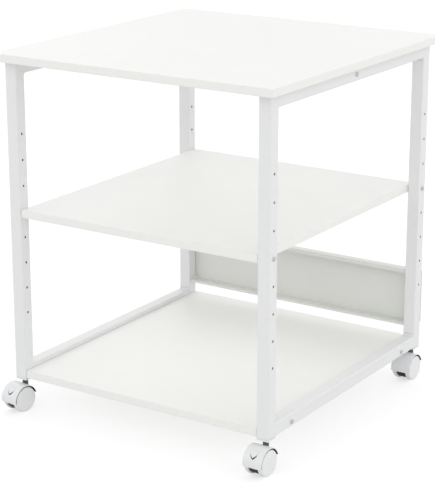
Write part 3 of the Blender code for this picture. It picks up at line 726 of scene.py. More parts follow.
def seat_points(name, seats):
    """A guide mesh: a point for each (place, direction), which it keeps in "facing"."""
    mesh = bpy.data.meshes.new(name)
    mesh.from_pydata([place for place, _ in seats], [], [])
    facing = mesh.attributes.new("facing", "FLOAT_VECTOR", "POINT")
    for item, (_, direction) in zip(facing.data, seats):
        item.vector = direction
    return mesh


def facing_turn(tree):
    """The rotation that stands a copy's Z axis along its seat's facing."""
    kind = "GeometryNodeInputNamedAttribute"
    facing = add_node(tree, kind, {"Name": "facing"}, data_type="FLOAT_VECTOR").outputs["Attribute"]
    stand = add_node(tree, "FunctionNodeAlignRotationToVector", {"Vector": facing}, axis="Z")
    return stand.outputs[0]


def copies(tree, given, shape, turn):
    """A copy of a shape on each seat."""
    sockets = {"Points": given["Geometry"], "Instance": shape, "Rotation": turn}
    return add_node(tree, "GeometryNodeInstanceOnPoints", sockets).outputs[0]


def finish_tree(tree, given, made, geometry):
    """Realize Instances, smooth shading and Set Material, as the tree's end."""
    real = add_node(tree, "GeometryNodeRealizeInstances", {"Geometry": geometry})
    smooth = add_node(tree, "GeometryNodeSetShadeSmooth", {"Geometry": real.outputs[0]})
    sockets = {"Geometry": smooth.outputs[0], "Material": given["Material"]}
    join(tree, made, {"Geometry": add_node(tree, "GeometryNodeSetMaterial", sockets).outputs[0]})
    return tree


def shape_group(name, others):
    """A Geometry Nodes group from a guide mesh and a material to a mesh."""
    inputs = {"Geometry": ["Geometry"], **others, "Material": ["Material"]}
    return new_group(name, "Geometry", inputs, {"Geometry": ["Geometry"]})


def make_screw_tree():
    """A copy of the pattern screw on each seat, its head along the seat's facing."""
    others = {"Object": ["Pattern screw"], "Float": ["Turn between screws"]}
    tree, given, made = shape_group("pan_screws", others)
    pattern = add_node(tree, "GeometryNodeObjectInfo", {"Object": given["Pattern screw"]})
    count = add_node(tree, "GeometryNodeInputIndex").outputs[0]
    spin = maths(tree, "MULTIPLY", count, given["Turn between screws"])
    about = add_node(tree, "ShaderNodeCombineXYZ", {2: spin}).outputs[0]
    own_turn = add_node(tree, "FunctionNodeEulerToRotation", {0: about}).outputs[0]
    sockets = {0: facing_turn(tree), 1: own_turn}
    turn = add_node(tree, "FunctionNodeRotateRotation", sockets, rotation_space="LOCAL").outputs[0]
    screws = copies(tree, given, pattern.outputs["Geometry"], turn)
    return finish_tree(tree, given, made, screws)


def make_rim_tree():
    """A raised lip of paint round each punched hole."""
    tree, given, made = shape_group("hole_rims", {"Float": ["Hole radius", "Lip radius"]})
    rings = []
    for resolution, radius in ((24, "Hole radius"), (6, "Lip radius")):
        sockets = {"Resolution": resolution, "Radius": given[radius]}
        rings.append(add_node(tree, "GeometryNodeCurvePrimitiveCircle", sockets).outputs[0])
    sockets = {"Curve": rings[0], "Profile Curve": rings[1]}
    lip = add_node(tree, "GeometryNodeCurveToMesh", sockets).outputs[0]
    return finish_tree(tree, given, made, copies(tree, given, lip, facing_turn(tree)))


def make_bead_tree():
    """A rippled weld bead along each edge of the guide mesh."""
    numbers = ["Bead radius", "Fullness", "Ripple pitch", "Ripple height", "Step"]
    tree, given, made = shape_group("weld_beads", {"Float": numbers})
    line = add_node(tree, "GeometryNodeMeshToCurve", {"Mesh": given["Geometry"]}).outputs[0]
    sockets = {"Curve": line, "Length": given["Step"]}
    fine = add_node(tree, "GeometryNodeResampleCurve", sockets, mode="LENGTH").outputs[0]
    run = add_node(tree, "GeometryNodeSplineParameter").outputs["Length"]
    turns = maths(tree, "DIVIDE", run, given["Ripple pitch"])
    wave = maths(tree, "COSINE", maths(tree, "MULTIPLY", turns, 2 * math.pi))
    ripple = maths(tree, "MULTIPLY", wave, given["Ripple height"])
    place = add_node(tree, "GeometryNodeInputPosition").outputs[0]
    uneven = spread(tree, noise(tree, place, 130.0, 2.0), -0.10, 0.10, *NOISE_SPAN)
    size = maths(tree, "ADD", maths(tree, "ADD", ripple, 1.0), uneven)
    hollow = maths(tree, "MULTIPLY", given["Bead radius"], given["Fullness"])
    sockets = {"Points": 4, "Inner Radius": hollow, "Outer Radius": given["Bead radius"]}
    section = add_node(tree, "GeometryNodeCurveStar", sockets).outputs[0]
    sockets = {"Curve": fine, "Profile Curve": section, "Scale": size, "Fill Caps": True}
    bead = add_node(tree, "GeometryNodeCurveToMesh", sockets).outputs[0]
    return finish_tree(tree, given, made, bead)


# ---- Boards -----------------------------------------------------------------------------

def band_profile(low, high):
    """(reach, height) round the section of the edge band, clockwise from its inner foot."""
    inner = [(0.0, low + SEAM), (0.0, high - SEAM), (SEAM, high)]
    reach = BAND - BAND_ARRIS
    top = arc_points((reach, high - BAND_ARRIS), BAND_ARRIS, 90.0, 0.0)
    foot = arc_points((reach, low + BAND_ARRIS), BAND_ARRIS, 0.0, -90.0)
    return inner + top + foot + [(SEAM, low)]


def add_board(node):
    """A faced board and the band glued round its four edges."""
    low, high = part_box(node)
    middle = (low + high) / 2
    width = high.x - low.x - 2 * BAND
    depth = high.y - low.y - 2 * BAND
    radius = BAND_CORNER - BAND

    def loop(reach, z):
        points = rounded_rectangle(width + 2 * reach, depth + 2 * reach, radius + reach)
        return [(middle.x + x, middle.y + y, z) for x, y in points]

    core = [(-SEAM, low.z), (0.0, low.z + SEAM), (0.0, high.z - SEAM), (-SEAM, high.z)]
    faces = mark_arrises(shaded(loft(node + "_faces", [loop(*step) for step in core])))
    add_piece(node + "_faces", faces, "board", "frame", [node])
    rounds = [loop(*step) for step in band_profile(low.z, high.z)]
    band = mark_arrises(shaded(loft(node + "_edge_band", rounds, ring=True)))
    add_piece(node + "_edge_band", band, "band")


# ---- Side frames ------------------------------------------------------------------------

def square_tube(name, low, high, axis):
    """A hollow square tube between two corners, its walls and end faces closed."""
    middle = (low + high) / 2
    half = (high[axis] - low[axis]) / 2
    side_axes = [i for i in range(3) if i != axis]

    def loop(side, corner, along):
        points = []
        for offsets in rounded_rectangle(side, side, corner):
            point = list(middle)
            point[axis] += along
            for side_axis, offset in zip(side_axes, offsets):
                point[side_axis] += offset
            points.append(tuple(point))
        return points

    chamfer = TUBE_END_CHAMFER
    loops = [
        loop(TUBE - 2 * chamfer, TUBE_CORNER - chamfer, -half),
        loop(TUBE, TUBE_CORNER, -half + chamfer),
        loop(TUBE, TUBE_CORNER, half - chamfer),
        loop(TUBE - 2 * chamfer, TUBE_CORNER - chamfer, half),
        loop(TUBE_INNER, TUBE_CORNER - TUBE_WALL, half),
        loop(TUBE_INNER, TUBE_CORNER - TUBE_WALL, -half),
    ]
    return loft(name, loops, ring=True)


def add_tube(node, low, high, axis, places, rims):
    """A punched tube, painted outside and raw inside; the lips of its holes go into rims."""
    name = node + "_tube"
    holes = [("X", 2 * TUBE, place) for place in places]
    mesh = drilled(square_tube(name, low, high, axis), holes)
    mesh = mark_arrises(shaded(mesh, 25.0))
    mesh.materials.clear()
    mesh.materials.append(FINISHES["paint"])
    mesh.materials.append(FINISHES["raw_steel"])
    middle = (low + high) / 2
    limit = TUBE_INNER / 2 + TUBE_WALL / 4
    sides = [i for i in range(3) if i != axis]
    for face in mesh.polygons:
        inside = all(abs(face.center[i] - middle[i]) < limit for i in sides)
        end = abs(face.normal[axis]) > 0.5
        face.material_index = 1 if inside and not end else 0
    add_piece(name, mesh, "paint", "frame", [node])
    for place in places:
        for direction in (-1, 1):
            seat = place + Vector((direction * TUBE / 2, 0.0, 0.0))
            rims.append((seat, (direction, 0.0, 0.0)))


def add_post(corner, rims):
    """A post with its row of holes."""
    node = "post_" + corner
    low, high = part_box(node)
    middle = (low + high) / 2
    heights = [FRAME_TOP - FIRST_HOLE_DROP - i * HOLE_PITCH for i in range(HOLE_COUNT)]
    places = [Vector((middle.x, middle.y, z)) for z in heights]
    add_tube(node, low, high, 2, places, rims)


def centre_of(node):
    low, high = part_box(node)
    return (low + high) / 2


def add_rail(node, screws, rims):
    """A rail run up to its posts, drilled where its screws pass."""
    low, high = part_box(node)
    low.y -= JOINT_GAP + TUBE_CORNER
    high.y += JOINT_GAP + TUBE_CORNER
    middle_x = (low.x + high.x) / 2
    places = []
    for screw in screws:
        centre = centre_of(screw)
        places.append(Vector((middle_x, centre.y, centre.z)))
    add_tube(node, low, high, 1, places, rims)


def bead_edges(name, lines):
    """A guide mesh with one edge for each (start, end)."""
    mesh = bpy.data.meshes.new(name)
    points = [point for line in lines for point in line]
    mesh.from_pydata(points, [(2 * i, 2 * i + 1) for i in range(len(lines))], [])
    return mesh


def joint_lines():
    """The inner corners between rails and posts, and the flush seams beside them."""
    corner_lines = []
    seam_lines = []
    reach = TUBE / 2 - TUBE_CORNER
    for side, _ in SIDES:
        for level, face in (("top_rail_", 0), ("bottom_rail_", 1)):
            low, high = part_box(level + side)
            x = (low.x + high.x) / 2
            z = (low.z, high.z)[face]
            for y in (low.y - JOINT_GAP, high.y + JOINT_GAP):
                corner_lines.append(((x - reach, y, z), (x + reach, y, z)))
                for seam_x in (low.x, high.x):
                    foot = (seam_x, y, low.z + TUBE_CORNER)
                    head = (seam_x, y, high.z - TUBE_CORNER)
                    seam_lines.append((foot, head))
    return corner_lines, seam_lines


def add_side_frames():
    rims = []
    for corner, _ in CORNERS:
        add_post(corner, rims)
    for side, _ in SIDES:
        add_rail("top_rail_" + side, ["cross_brace_screw_" + side], rims)
        screws = ["bottom_shelf_screw_" + end + "_" + side for end in ENDS]
        add_rail("bottom_rail_" + side, screws, rims)
    values = {"Hole radius": HOLE_RADIUS + RIM_RADIUS / 2, "Lip radius": RIM_RADIUS}
    guide = seat_points("hole_rim_seats", rims)
    mesh = node_result("hole_rims", guide, make_rim_tree(), values, "paint")
    add_piece("hole_rims", mesh, "paint")
    add_welds()


def add_welds():
    """Fillet beads in the inner corners and low seam beads where tubes are flush."""
    corner_lines, seam_lines = joint_lines()
    tree = make_bead_tree()
    for name, lines, radius, fullness in (
        ("weld_corner_beads", corner_lines, BEAD_LEG, BEAD_FULLNESS),
        ("weld_seam_beads", seam_lines, SEAM_BEAD, 1.0),
    ):
        values = {
            "Bead radius": radius,
            "Fullness": fullness,
            "Ripple pitch": BEAD_RIPPLE,
            "Ripple height": BEAD_RIPPLE_HEIGHT,
            "Step": BEAD_STEP,
        }
        mesh = node_result(name, bead_edges(name, lines), tree, values, "weld")
        add_piece(name, mesh, "weld")


# ---- Screws -----------------------------------------------------------------------------

def pattern_screw():
    """A pan-head screw with a cross recess, its seat at the origin and head along +Z."""
    crown = HEAD_HEIGHT - HEAD_EDGE
    profile = [
        (SHANK_TIP, -SHANK_SHOW),
        (SHANK_RADIUS, -SHANK_SHOW + SHANK_POINT),
        (SHANK_RADIUS, 0.0),
        (HEAD_RADIUS - HEAD_EASE, 0.0),
        (HEAD_RADIUS, HEAD_EASE),
    ]
    for i in range(HEAD_STEPS + 1):
        turn = math.radians(90.0 * i / HEAD_STEPS)
        radius = HEAD_RADIUS - crown * HEAD_ROUND_IN * (1 - math.cos(turn))
        profile.append((radius, HEAD_EDGE + crown * HEAD_ROUND_UP * math.sin(turn)))
    profile.append((HEAD_CENTRE, HEAD_HEIGHT))
    head = turned("pattern_screw", profile, BORE_SIDES)
    slots = []
    for turn in (0.0, math.pi / 2):
        foot = rounded_rectangle(*SLOT_FOOT, 2)
        mouth = rounded_rectangle(*SLOT, 2)
        loops = [
            [(x, y, HEAD_HEIGHT - SLOT_DEPTH) for x, y in foot],
            [(x, y, HEAD_HEIGHT + SLOT_OVERCUT) for x, y in mouth],
        ]
        wedge = loft("slot", loops)
        wedge.transform(Matrix.Rotation(turn, 4, "Z"))
        slots.append(wedge)
    recess = cut(slots[0], slots[1], "UNION")
    return shaded(cut(head, recess), 40.0)


def screw_seats():
    """(nodes, seats) of every screw, each seat with the way its head points."""
    panel_ends = [(side + "_" + level, sx) for side, sx in SIDES for level in LEVELS]
    rows = (
        ("middle_shelf_screw_", "X", CORNERS),
        ("bottom_shelf_screw_", "X", CORNERS),
        ("cross_brace_screw_", "X", SIDES),
        ("top_board_screw_", "Z", SIDES),
        ("panel_screw_", "Y", panel_ends),
    )
    nodes = []
    seats = []
    for stem, axis, ends in rows:
        for end, sx in ends:
            node = stem + end
            low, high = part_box(node)
            place = (low + high) / 2
            direction = Vector((0.0, 0.0, 0.0))
            if axis == "X":
                direction.x = sx
                place.x = (high.x if sx > 0 else low.x) - sx * HEAD_HEIGHT
            elif axis == "Y":
                direction.y = 1.0
                place.y = high.y - HEAD_HEIGHT
            else:
                direction.z = -1.0
                place.z = low.z + HEAD_HEIGHT
            nodes.append(node)
            seats.append((place, direction))
    return nodes, seats


def add_screws():
    nodes, seats = screw_seats()
    pattern = bench_object(pattern_screw())
    values = {"Pattern screw": pattern, "Turn between screws": SCREW_TURN}
    guide = seat_points("screw_seats", seats)
    mesh = node_result("frame_screws", guide, make_screw_tree(), values, "zinc")
    bpy.data.objects.remove(pattern, do_unlink=True)
    mesh.set_sharp_from_angle(angle=math.radians(40.0))
    add_piece("frame_screws", mesh, "zinc", "frame", nodes)


# ---- Sheet metal ------------------------------------------------------------------------

def rounded_path(corners, radius, steps=ARC_STEPS):
    """A line through 2-D corners, each inner corner turned on an arc."""
    points = [Vector(corners[0])]
    for before, corner, after in zip(corners, corners[1:], corners[2:]):
        into = (Vector(before) - Vector(corner)).normalized()
        out = (Vector(after) - Vector(corner)).normalized()
        start = Vector(corner) + into * radius
        centre = start + out * radius
        for i in range(steps + 1):
            t = math.pi / 2 * i / steps
            points.append(centre - out * radius * math.cos(t) - into * radius * math.sin(t))
    points.append(Vector(corners[-1]))
    return points


def panel_sheet(low, high):
    """The back panel's outer faces: a web as wide as the frame, flanges between the posts."""
    bottom = low.z + LOWER_LIP
    corners = [
        (low.y, high.z - UPPER_LIP),
        (low.y, high.z),
        (high.y, high.z),
        (high.y, bottom),
        (low.y, bottom),
        (low.y, low.z),
    ]
    web_start = 2 * (ARC_STEPS + 1)
    flange_end = FRAME_HALF - TUBE - FLANGE_SIDE_GAP
    stations = (-FRAME_HALF, -flange_end, flange_end, FRAME_HALF)
    shape = bmesh.new()
    rows = []
    for i, (y, z) in enumerate(rounded_path(corners, PANEL_BEND)):
        wing = i in (web_start, web_start + 1)
        rows.append([
            shape.verts.new((x, y, z)) if wing or abs(x) < FRAME_HALF else None
            for x in stations
        ])
    for upper, lower in zip(rows, rows[1:]):
        for k in range(len(stations) - 1):
            face_corners = (upper[k], upper[k + 1], lower[k + 1], lower[k])
            if all(face_corners):
                shape.faces.new(face_corners)
    sheet = new_mesh("back_panel_sheet", shape)
    web = max(sheet.polygons, key=lambda face: face.area)
    if web.normal.y < 0:
        sheet.flip_normals()
    return sheet


def add_back_panel():
    """The folded back: a flat web, two flanges between the posts and their lips."""
    low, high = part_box("back_panel")
    panel = thickened(panel_sheet(low, high), SHEET)
    holes = []
    for side, _ in SIDES:
        for level in LEVELS:
            screw = centre_of("panel_screw_" + side + "_" + level)
            holes.append(("Y", TUBE / 2, Vector((screw.x, high.y, screw.z))))
    panel = softened(drilled(panel, holes), SHEET_ARRIS, 2, 60.0)
    panel = mark_arrises(shaded(panel, 30.0))
    add_piece("back_panel_sheet", panel, "panel", "frame", ["back_panel"])


def add_brace():
    """The pressed channel under the top board, open below."""
    low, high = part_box("cross_brace")
    shape = bmesh.new()
    place = Matrix.Translation((low + high) / 2) @ Matrix.Diagonal((*(high - low), 1.0))
    bmesh.ops.create_cube(shape, size=1.0, matrix=place)
    open_face = [face for face in shape.faces if face.normal.z < -0.5]
    bmesh.ops.delete(shape, geom=open_face, context="FACES_ONLY")
    name = "cross_brace_channel"
    mesh = bpy.data.meshes.new(name)
    shape.to_mesh(mesh)
    shape.free()
    channel = thickened(softened(mesh, BRACE_BEND, 4, 60.0), BRACE_SHEET)
    holes = []
    for side, end in (("left", low.x), ("right", high.x)):
        screw = centre_of("cross_brace_screw_" + side)
        holes.append(("X", TUBE, Vector((end, screw.y, screw.z))))
        screw = centre_of("top_board_screw_" + side)
        holes.append(("Z", TUBE / 2, Vector((screw.x, screw.y, high.z))))
    channel = mark_arrises(shaded(drilled(channel, holes), 30.0))
    add_piece(name, channel, "paint", "frame", ["cross_brace"])


# ---- Casters ----------------------------------------------------------------------------

class CasterPlan:
    """Sizes of one caster about its own stem axis, read from its joints; front is -Y."""

    def __init__(self, corner):
        swivel = Vector(JOINTS["swivel_" + corner]["pos_m"])
        left = JOINTS["roll_" + corner + "_left"]
        right = JOINTS["roll_" + corner + "_right"]
        axle = (Vector(left["pos_m"]) + Vector(right["pos_m"])) / 2
        self.turn = math.atan2(left["axis"][1], left["axis"][0])
        self.place = Matrix.Translation((swivel.x, swivel.y, 0.0))
        self.place = self.place @ Matrix.Rotation(self.turn, 4, "Z")
        self.height = swivel.z
        self.axle_z = axle.z
        self.trail = (Vector(axle.xy) - Vector(swivel.xy)).length
        self.wheel_radius = axle.z
        self.wheel_middle = (Vector(right["pos_m"]) - Vector(left["pos_m"])).length / 2
        self.hood_inner = self.wheel_radius + HOOD_GAP
        self.hood_outer = self.hood_inner + HOOD_WALL
        brake = JOINTS.get("brake_" + corner)
        if brake:
            pivot = self.place.inverted() @ Vector(brake["pos_m"])
            forward = -pivot.y - self.trail
            rise = pivot.z - self.axle_z
            self.pivot_reach = math.hypot(forward, rise)
            self.pivot_angle = math.degrees(math.atan2(rise, forward))

    def around(self, radius, angle):
        """(y, z) at an angle above the forward horizontal, about the axle."""
        turn = math.radians(angle)
        return (-self.trail - radius * math.cos(turn), self.axle_z + radius * math.sin(turn))

    def arc(self, radius, start, end, step=HOOD_STEP):
        count = max(2, round(abs(end - start) / step))
        spans = [start + (end - start) * i / count for i in range(count + 1)]
        return [self.around(radius, angle) for angle in spans]


def hood_section(plan):
    """(x, radius) round the wall of the hood, crowned, with rounded side rims."""
    half = HOOD_WIDTH / 2
    flat = half - HOOD_SHOULDER
    side_radius = plan.hood_outer - HOOD_CROWN
    low = plan.hood_inner
    shoulder = side_radius - HOOD_SHOULDER
    points = []
    for i in range(HOOD_CROWN_STEPS + 1):
        x = -flat + 2 * flat * i / HOOD_CROWN_STEPS
        points.append((x, side_radius + HOOD_CROWN * (1 - (x / flat) ** 2)))
    points += arc_points((flat, shoulder), HOOD_SHOULDER, 72.0, 0.0, 4)
    points += [(half, low + RIM_EASE), (half - RIM_EASE, low), (0.0, low)]
    points += [(-half + RIM_EASE, low), (-half, low + RIM_EASE)]
    points += arc_points((-flat, shoulder), HOOD_SHOULDER, 180.0, 108.0, 4)
    return points


def tongue_patch(plan, name, top, tip, half_width, point, low, high, lift):
    """A tab on the hood's curve with a rounded point, its tip lifted off the curve."""
    length = math.radians(top - tip) * plan.hood_outer
    shape = bmesh.new()
    sheets = []
    for radius in (low, high):
        sheet = []
        for i in range(TONGUE_ROWS + 1):
            run = (i / TONGUE_ROWS) ** 1.5 * length
            inward = max(0.0, 1.0 - run / point)
            half = half_width * max(0.04, 1.0 - inward ** 1.9)
            angle = tip + math.degrees(run / plan.hood_outer)
            rise = lift * (1.0 - min(1.0, run / length)) ** 1.6
            y, z = plan.around(radius + rise, angle)
            spots = [-half + 2 * half * k / TONGUE_COLUMNS for k in range(TONGUE_COLUMNS + 1)]
            sheet.append([shape.verts.new((x, y, z)) for x in spots])
        sheets.append(sheet)
    inner, outer = sheets
    for sheet in sheets:
        for near, far in zip(sheet, sheet[1:]):
            for k in range(TONGUE_COLUMNS):
                shape.faces.new((near[k], near[k + 1], far[k + 1], far[k]))
    for i in range(TONGUE_ROWS):
        for k in (0, TONGUE_COLUMNS):
            shape.faces.new((inner[i][k], inner[i + 1][k], outer[i + 1][k], outer[i][k]))
    for i in (0, TONGUE_ROWS):
        for k in range(TONGUE_COLUMNS):
            shape.faces.new((inner[i][k], inner[i][k + 1], outer[i][k + 1], outer[i][k]))
    return new_mesh(name, shape)


def window_tool(plan):
    """What is cut for the tongue: its outline, its gap and the room for its stroke."""
    return tongue_patch(
        plan, "window", TONGUE_TOP + WINDOW_TOP_GAP, TONGUE_TIP - WINDOW_DROP,
        TONGUE_WIDTH / 2 + WINDOW_GAP, TONGUE_POINT,
        plan.hood_inner - 2 * SHADE_LINING, plan.hood_outer + HOOD_WALL, 0.0,
    )


def hood_shell(plan, name, section, inset, arris, segments, braked):
    """A section carried over both wheels, bored for the collar and open for the tongue."""
    start = HOOD_FRONT + inset
    count = round((HOOD_REAR - HOOD_FRONT) / HOOD_STEP)
    loops = []
    for i in range(count + 1):
        angle = start + (HOOD_REAR - inset - start) * i / count
        loops.append([(x, *plan.around(radius, angle)) for x, radius in section])
    shell = softened(loft(name, loops), arris, segments, 60.0)
    top = Vector((0.0, 0.0, plan.height))
    bore = rod("bore", COLLAR_RADIUS + RUNNING_GAP, 2 * (plan.height - plan.axle_z), "Z", top)
    shell = cut(shell, bore)
    if braked:
        shell = cut(shell, window_tool(plan))
    return shaded(shell, 35.0)


def make_hood(plan, braked):
    """The hood over both wheels."""
    return hood_shell(plan, "caster_hood", hood_section(plan), 0.0, HOOD_ARRIS, 3, braked)


def make_shade_lining(plan, braked):
    """A black sheet under the hood, painted shade that shows the shaded gap beside the wheels as a dark
    line.
    """
    half = HOOD_WIDTH / 2 - SHADE_LINING_INSET
    low = plan.hood_inner - SHADE_LINING
    high = plan.hood_inner + SHADE_LINING_LAP
    section = [(-half, low), (half, low), (half, high), (-half, high)]
    return hood_shell(plan, "caster_fender", section, SHADE_LINING_END, SHADE_LINING / 4, 2, braked)


def make_tongue(plan):
    """The brake tongue, its arm and the pin that it turns on."""
    outer = plan.hood_outer - TONGUE_SINK
    tab = tongue_patch(
        plan, "brake_tongue", TONGUE_TOP, TONGUE_TIP, TONGUE_WIDTH / 2, TONGUE_POINT,
        outer - TONGUE_WALL, outer, TONGUE_LIFT,
    )
    tab = softened(tab, MOULD_ARRIS, 2, 50.0)
    half_arm = math.degrees(ARM_HALF / plan.hood_inner)
    high = plan.pivot_angle + half_arm
    low = plan.pivot_angle - half_arm
    head = outer - TONGUE_WALL / 2
    spots = ((head, high), (plan.pivot_reach, high), (plan.pivot_reach, low), (head, low))
    outline = [plan.around(radius, angle) for radius, angle in spots]
    arm = extruded("arm", outline, TONGUE_WIDTH / 2 - WINDOW_GAP)
    centre = Vector((0.0, *plan.around(plan.pivot_reach, plan.pivot_angle)))
    pin = rod("pin", PIVOT_RADIUS, CORE_WIDTH - 2 * RUNNING_GAP, "X", centre, PIN_SIDES)
    return shaded(cut(cut(tab, arm, "UNION"), pin, "UNION"), 35.0)


def make_core(plan, braked):
    """The black middle body with its hub disc, stem block and brake ears."""
    top = plan.hood_inner - RUNNING_GAP
    reach = CORE_BACK + plan.trail
    back_angle = 180.0 - math.degrees(math.acos(reach / top))
    outline = plan.arc(CORE_RADIUS, CORE_FRONT, SKIRT_TOP, CORE_STEP)
    outline += plan.arc(CORE_SKIRT, SKIRT_TOP, SKIRT_END, CORE_STEP)
    outline += [(CORE_BACK, plan.axle_z - CORE_RADIUS / 2)]
    outline += plan.arc(top, back_angle, CORE_TOP_END, CORE_TOP_STEP)
    core = softened(extruded("caster_core", outline, CORE_WIDTH / 2), MOULD_ARRIS, 2, 30.0)
    if braked:
        centre = Vector((0.0, *plan.around(plan.pivot_reach, plan.pivot_angle)))
        for sx in (-1, 1):
            place = centre + Vector((sx * (CORE_WIDTH - EAR_THICKNESS) / 2, 0.0, 0.0))
            core = cut(core, rod("ear", EAR_RADIUS, EAR_THICKNESS, "X", place, BORE_SIDES), "UNION")
        radius = PIVOT_RADIUS + RUNNING_GAP
        core = cut(core, rod("pivot", radius, 2 * CORE_WIDTH, "X", centre, PIN_SIDES))
    axle = Vector((0.0, -plan.trail, plan.axle_z))
    radius = AXLE_RADIUS + RUNNING_GAP
    core = cut(core, rod("axle", radius, 2 * CORE_WIDTH, "X", axle, PIN_SIDES))
    collar_foot = plan.axle_z + COLLAR_FOOT_RISE - RUNNING_GAP
    stem_foot = plan.axle_z - STEM_FOOT_DROP - RUNNING_GAP
    profile = [
        (STEM_RADIUS + RUNNING_GAP, stem_foot),
        (STEM_RADIUS + RUNNING_GAP, collar_foot),
        (COLLAR_RADIUS + RUNNING_GAP, collar_foot),
        (COLLAR_RADIUS + RUNNING_GAP, plan.height),
    ]
    core = cut(core, turned("stem_bore", profile, BORE_SIDES))
    return shaded(core, 30.0)


def make_stem(plan):
    """The turned steel stem and its collar, with a snap-ring groove near the top."""
    top = plan.height + SOCKET_FLANGE + STEM_IN_SOCKET
    collar_top = plan.height - RUNNING_GAP
    collar_foot = plan.axle_z + COLLAR_FOOT_RISE
    foot = plan.axle_z - STEM_FOOT_DROP
    chamfer = STEM_CHAMFER
    groove = STEM_GROOVE
    profile = [
        (STEM_RADIUS - chamfer, foot),
        (STEM_RADIUS, foot + chamfer),
        (STEM_RADIUS, collar_foot),
        (COLLAR_RADIUS - chamfer, collar_foot),
        (COLLAR_RADIUS, collar_foot + chamfer),
        (COLLAR_RADIUS, collar_top - chamfer),
        (COLLAR_RADIUS - chamfer, collar_top),
        (STEM_RADIUS, collar_top),
        (STEM_RADIUS, top - 5 * groove),
        (STEM_RADIUS - groove, top - 5 * groove),
        (STEM_RADIUS - groove, top - 4 * groove),
        (STEM_RADIUS, top - 4 * groove),
        (STEM_RADIUS, top - chamfer),
        (STEM_RADIUS - chamfer, top),
    ]
    return shaded(turned("caster_stem", profile, STEM_SIDES), 35.0)


def make_wheel(plan, sx):
    """One wheel in place: tread, round shoulder, grooved disc and blind bore."""
    radius = plan.wheel_radius
    face = WHEEL_WIDTH - WHEEL_CROWN
    rim = radius - WHEEL_TAPER
    disc = radius - WHEEL_GROOVE_INSET
    groove = WHEEL_GROOVE
    profile = [(AXLE_RADIUS + RUNNING_GAP, AXLE_HOLD + RUNNING_GAP)]
    profile += [(AXLE_RADIUS + RUNNING_GAP, 0.0)]
    profile += arc_points((radius - WHEEL_ARRIS, WHEEL_ARRIS), WHEEL_ARRIS, -90.0, 0.0, 4)
    profile += [(radius, WHEEL_STRAIGHT)]
    shoulder = (rim - WHEEL_SHOULDER, face - WHEEL_SHOULDER)
    profile += arc_points(shoulder, WHEEL_SHOULDER, 0.0, 85.0, 7)
    profile += [(disc + groove, face), (disc, face - groove), (disc - groove, face)]
    rings = 7
    for i in range(1, rings + 1):
        out = (disc - groove) * (1 - i / rings) + WHEEL_CENTRE
        profile.append((out, face + WHEEL_CROWN * (1 - (out / disc) ** 2)))
    wheel = turned("wheel", profile, WHEEL_SIDES)
    tread = wheel.attributes.new("tread", "FLOAT", "FACE")
    for polygon, value in zip(wheel.polygons, tread.data):
        reach = math.hypot(polygon.center.x, polygon.center.y)
        outward = polygon.normal.x * polygon.center.x + polygon.normal.y * polygon.center.y
        value.value = 1.0 if reach > radius - WHEEL_ARRIS and outward > 0.9 * reach else 0.0
    inner = sx * (plan.wheel_middle - WHEEL_WIDTH / 2)
    stand = Matrix.Rotation(sx * math.pi / 2, 4, "Y")
    wheel.transform(Matrix.Translation((inner, -plan.trail, plan.axle_z)) @ stand)
    return shaded(wheel, 40.0)


def make_socket(plan):
    """The square insert in a post's foot: flange, plug and bore."""
    seat = plan.height + SOCKET_FLANGE
    plug = TUBE_INNER - SOCKET_PLAY
    sections = [
        (TUBE - 2 * SOCKET_EASE, plan.height),
        (TUBE, plan.height + SOCKET_EASE),
        (TUBE, seat - SOCKET_SEAM),
        (plug, seat - SOCKET_SEAM),
        (plug, seat + SOCKET_PLUG - SOCKET_LEAD),
        (plug - 2 * SOCKET_LEAD, seat + SOCKET_PLUG),
    ]
    loops = [
        [(x, y, z) for x, y in rounded_rectangle(side, side, SOCKET_CORNER)]
        for side, z in sections
    ]
    depth = SOCKET_FLANGE + STEM_IN_SOCKET + RUNNING_GAP
    top = Vector((0.0, 0.0, plan.height))
    bore = rod("bore", STEM_RADIUS + RUNNING_GAP, 2 * depth, "Z", top, BORE_SIDES)
    return shaded(cut(loft("caster_socket", loops), bore), 30.0)


def add_caster(corner):
    """One caster, every piece on its own body and turned as its joints say."""
    plan = CasterPlan(corner)
    braked = "brake_" + corner in JOINTS
    swivel = "swivel_" + corner
    upright = Matrix.Translation((*JOINTS[swivel]["pos_m"][:2], 0.0))
    rows = [
        ("caster_socket_", make_socket(plan), "hood", "frame", upright),
        ("caster_stem_", make_stem(plan), "dark_steel", swivel, plan.place),
        ("caster_core_", make_core(plan, braked), "core", swivel, plan.place),
        ("caster_hood_", make_hood(plan, braked), "hood", swivel, plan.place),
    ]
    # Painted shade: a black sheet inside the hood darkens the gap beside the wheels.
    shade_lining = make_shade_lining(plan, braked)
    shade_lining.transform(plan.place)
    name = "caster_fender_" + corner
    add_piece(name, shade_lining, "core", swivel)
    if braked:
        tongue = make_tongue(plan)
        body = "brake_" + corner
        rows.append(("brake_lever_", tongue, "hood", body, plan.place))
    for stem, mesh, finish, body, place in rows:
        mesh.transform(place)
        node = stem + corner
        add_piece(node + "_fine", mesh, finish, body, [node])
    for side, sx in SIDES:
        node = "wheel_" + corner + "_" + side
        mesh = make_wheel(plan, sx)
        mesh.transform(plan.place)
        add_piece(node + "_fine", mesh, "wheel", node, [node])
    axle = frame["nodes"]["axle_" + corner]
    axle.data.materials.clear()
    axle.data.materials.append(FINISHES["zinc"])


# ---- Studio -----------------------------------------------------------------------------

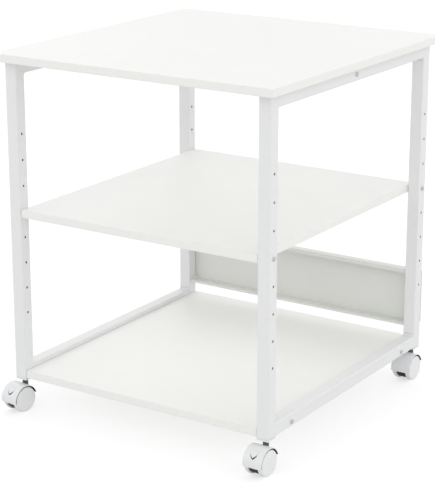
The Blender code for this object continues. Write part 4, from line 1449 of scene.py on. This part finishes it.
def add_floor():
    """A plain pale floor that keeps only a soft shadow."""
    half = FLOOR_HALF
    corners = [(-half, -half, 0.0), (half, -half, 0.0), (half, half, 0.0), (-half, half, 0.0)]
    mesh = bpy.data.meshes.new("floor")
    mesh.from_pydata(corners, [], [(0, 1, 2, 3)])
    floor = linked("floor", mesh)
    material, tree, shader, place = start_finish("pale_floor")
    tone = spread(tree, noise(tree, place, 1.5, 2.0), *FLOOR_TONE, *NOISE_SPAN)
    tint = add_node(tree, "ShaderNodeCombineColor", {0: tone, 1: tone, 2: tone})
    seen = add_node(tree, "ShaderNodeLightPath").outputs["Is Camera Ray"]
    glow = spread(tree, seen, FLOOR_BOUNCE, FLOOR_SHOW)
    join(tree, shader, {"Base Color": tint.outputs[0], "Emission Strength": glow})
    shader.inputs["Roughness"].default_value = 0.9
    shader.inputs["Specular IOR Level"].default_value = 0.0
    shader.inputs["Emission Color"].default_value = (1.0, 1.0, 1.0, 1.0)
    mesh.materials.append(material)


def add_light(name, size, power, place, target):
    data = bpy.data.lights.new(name, "AREA")
    data.shape = "RECTANGLE"
    data.size, data.size_y = size
    data.energy = power
    lamp = linked(name, data)
    lamp.location = place
    lamp.rotation_euler = (Vector(target) - Vector(place)).to_track_quat("-Z", "Y").to_euler()


def add_studio():
    """White surroundings and large soft lights."""
    scene = bpy.context.scene
    world = bpy.data.worlds.new("studio")
    world.use_nodes = True
    tree = world.node_tree
    sky = tree.nodes["Background"]
    sky.inputs["Color"].default_value = (1.0, 1.0, 1.0, 1.0)
    direction = add_node(tree, "ShaderNodeTexCoord").outputs["Generated"]
    height = add_node(tree, "ShaderNodeSeparateXYZ", {0: direction}).outputs[2]
    rise = spread(tree, height, SKY_LOW, SKY_MIDDLE, 0.15, 0.45)
    fall = spread(tree, height, 0.0, SKY_MIDDLE - SKY_TOP, 0.55, 0.85)
    glow = maths(tree, "SUBTRACT", rise, fall)
    seen = add_node(tree, "ShaderNodeLightPath").outputs["Is Camera Ray"]
    shown = add_node(tree, "ShaderNodeMix", {0: seen, 2: glow, 3: SKY_SEEN}).outputs[0]
    tree.links.new(shown, sky.inputs["Strength"])
    scene.world = world
    scene.view_settings.view_transform = "Standard"
    for name, size, power, place in SOFT_LIGHTS:
        add_light(name, size, power, place, LIGHT_TARGET)


def add_camera():
    data = bpy.data.cameras.new("camera")
    data.sensor_width = 36.0
    data.lens = CAMERA_LENS
    data.clip_start = 0.1
    data.clip_end = 50.0
    camera = linked("camera", data)
    camera.location = CAMERA_PLACE
    camera.rotation_euler = [math.radians(angle) for angle in CAMERA_TURN]
    bpy.context.scene.camera = camera


def main():
    for node in ("top_board", "middle_shelf", "bottom_shelf"):
        add_board(node)
    add_side_frames()
    add_brace()
    add_back_panel()
    add_screws()
    for corner, _ in CORNERS:
        add_caster(corner)
    add_floor()
    add_studio()
    add_camera()


main()
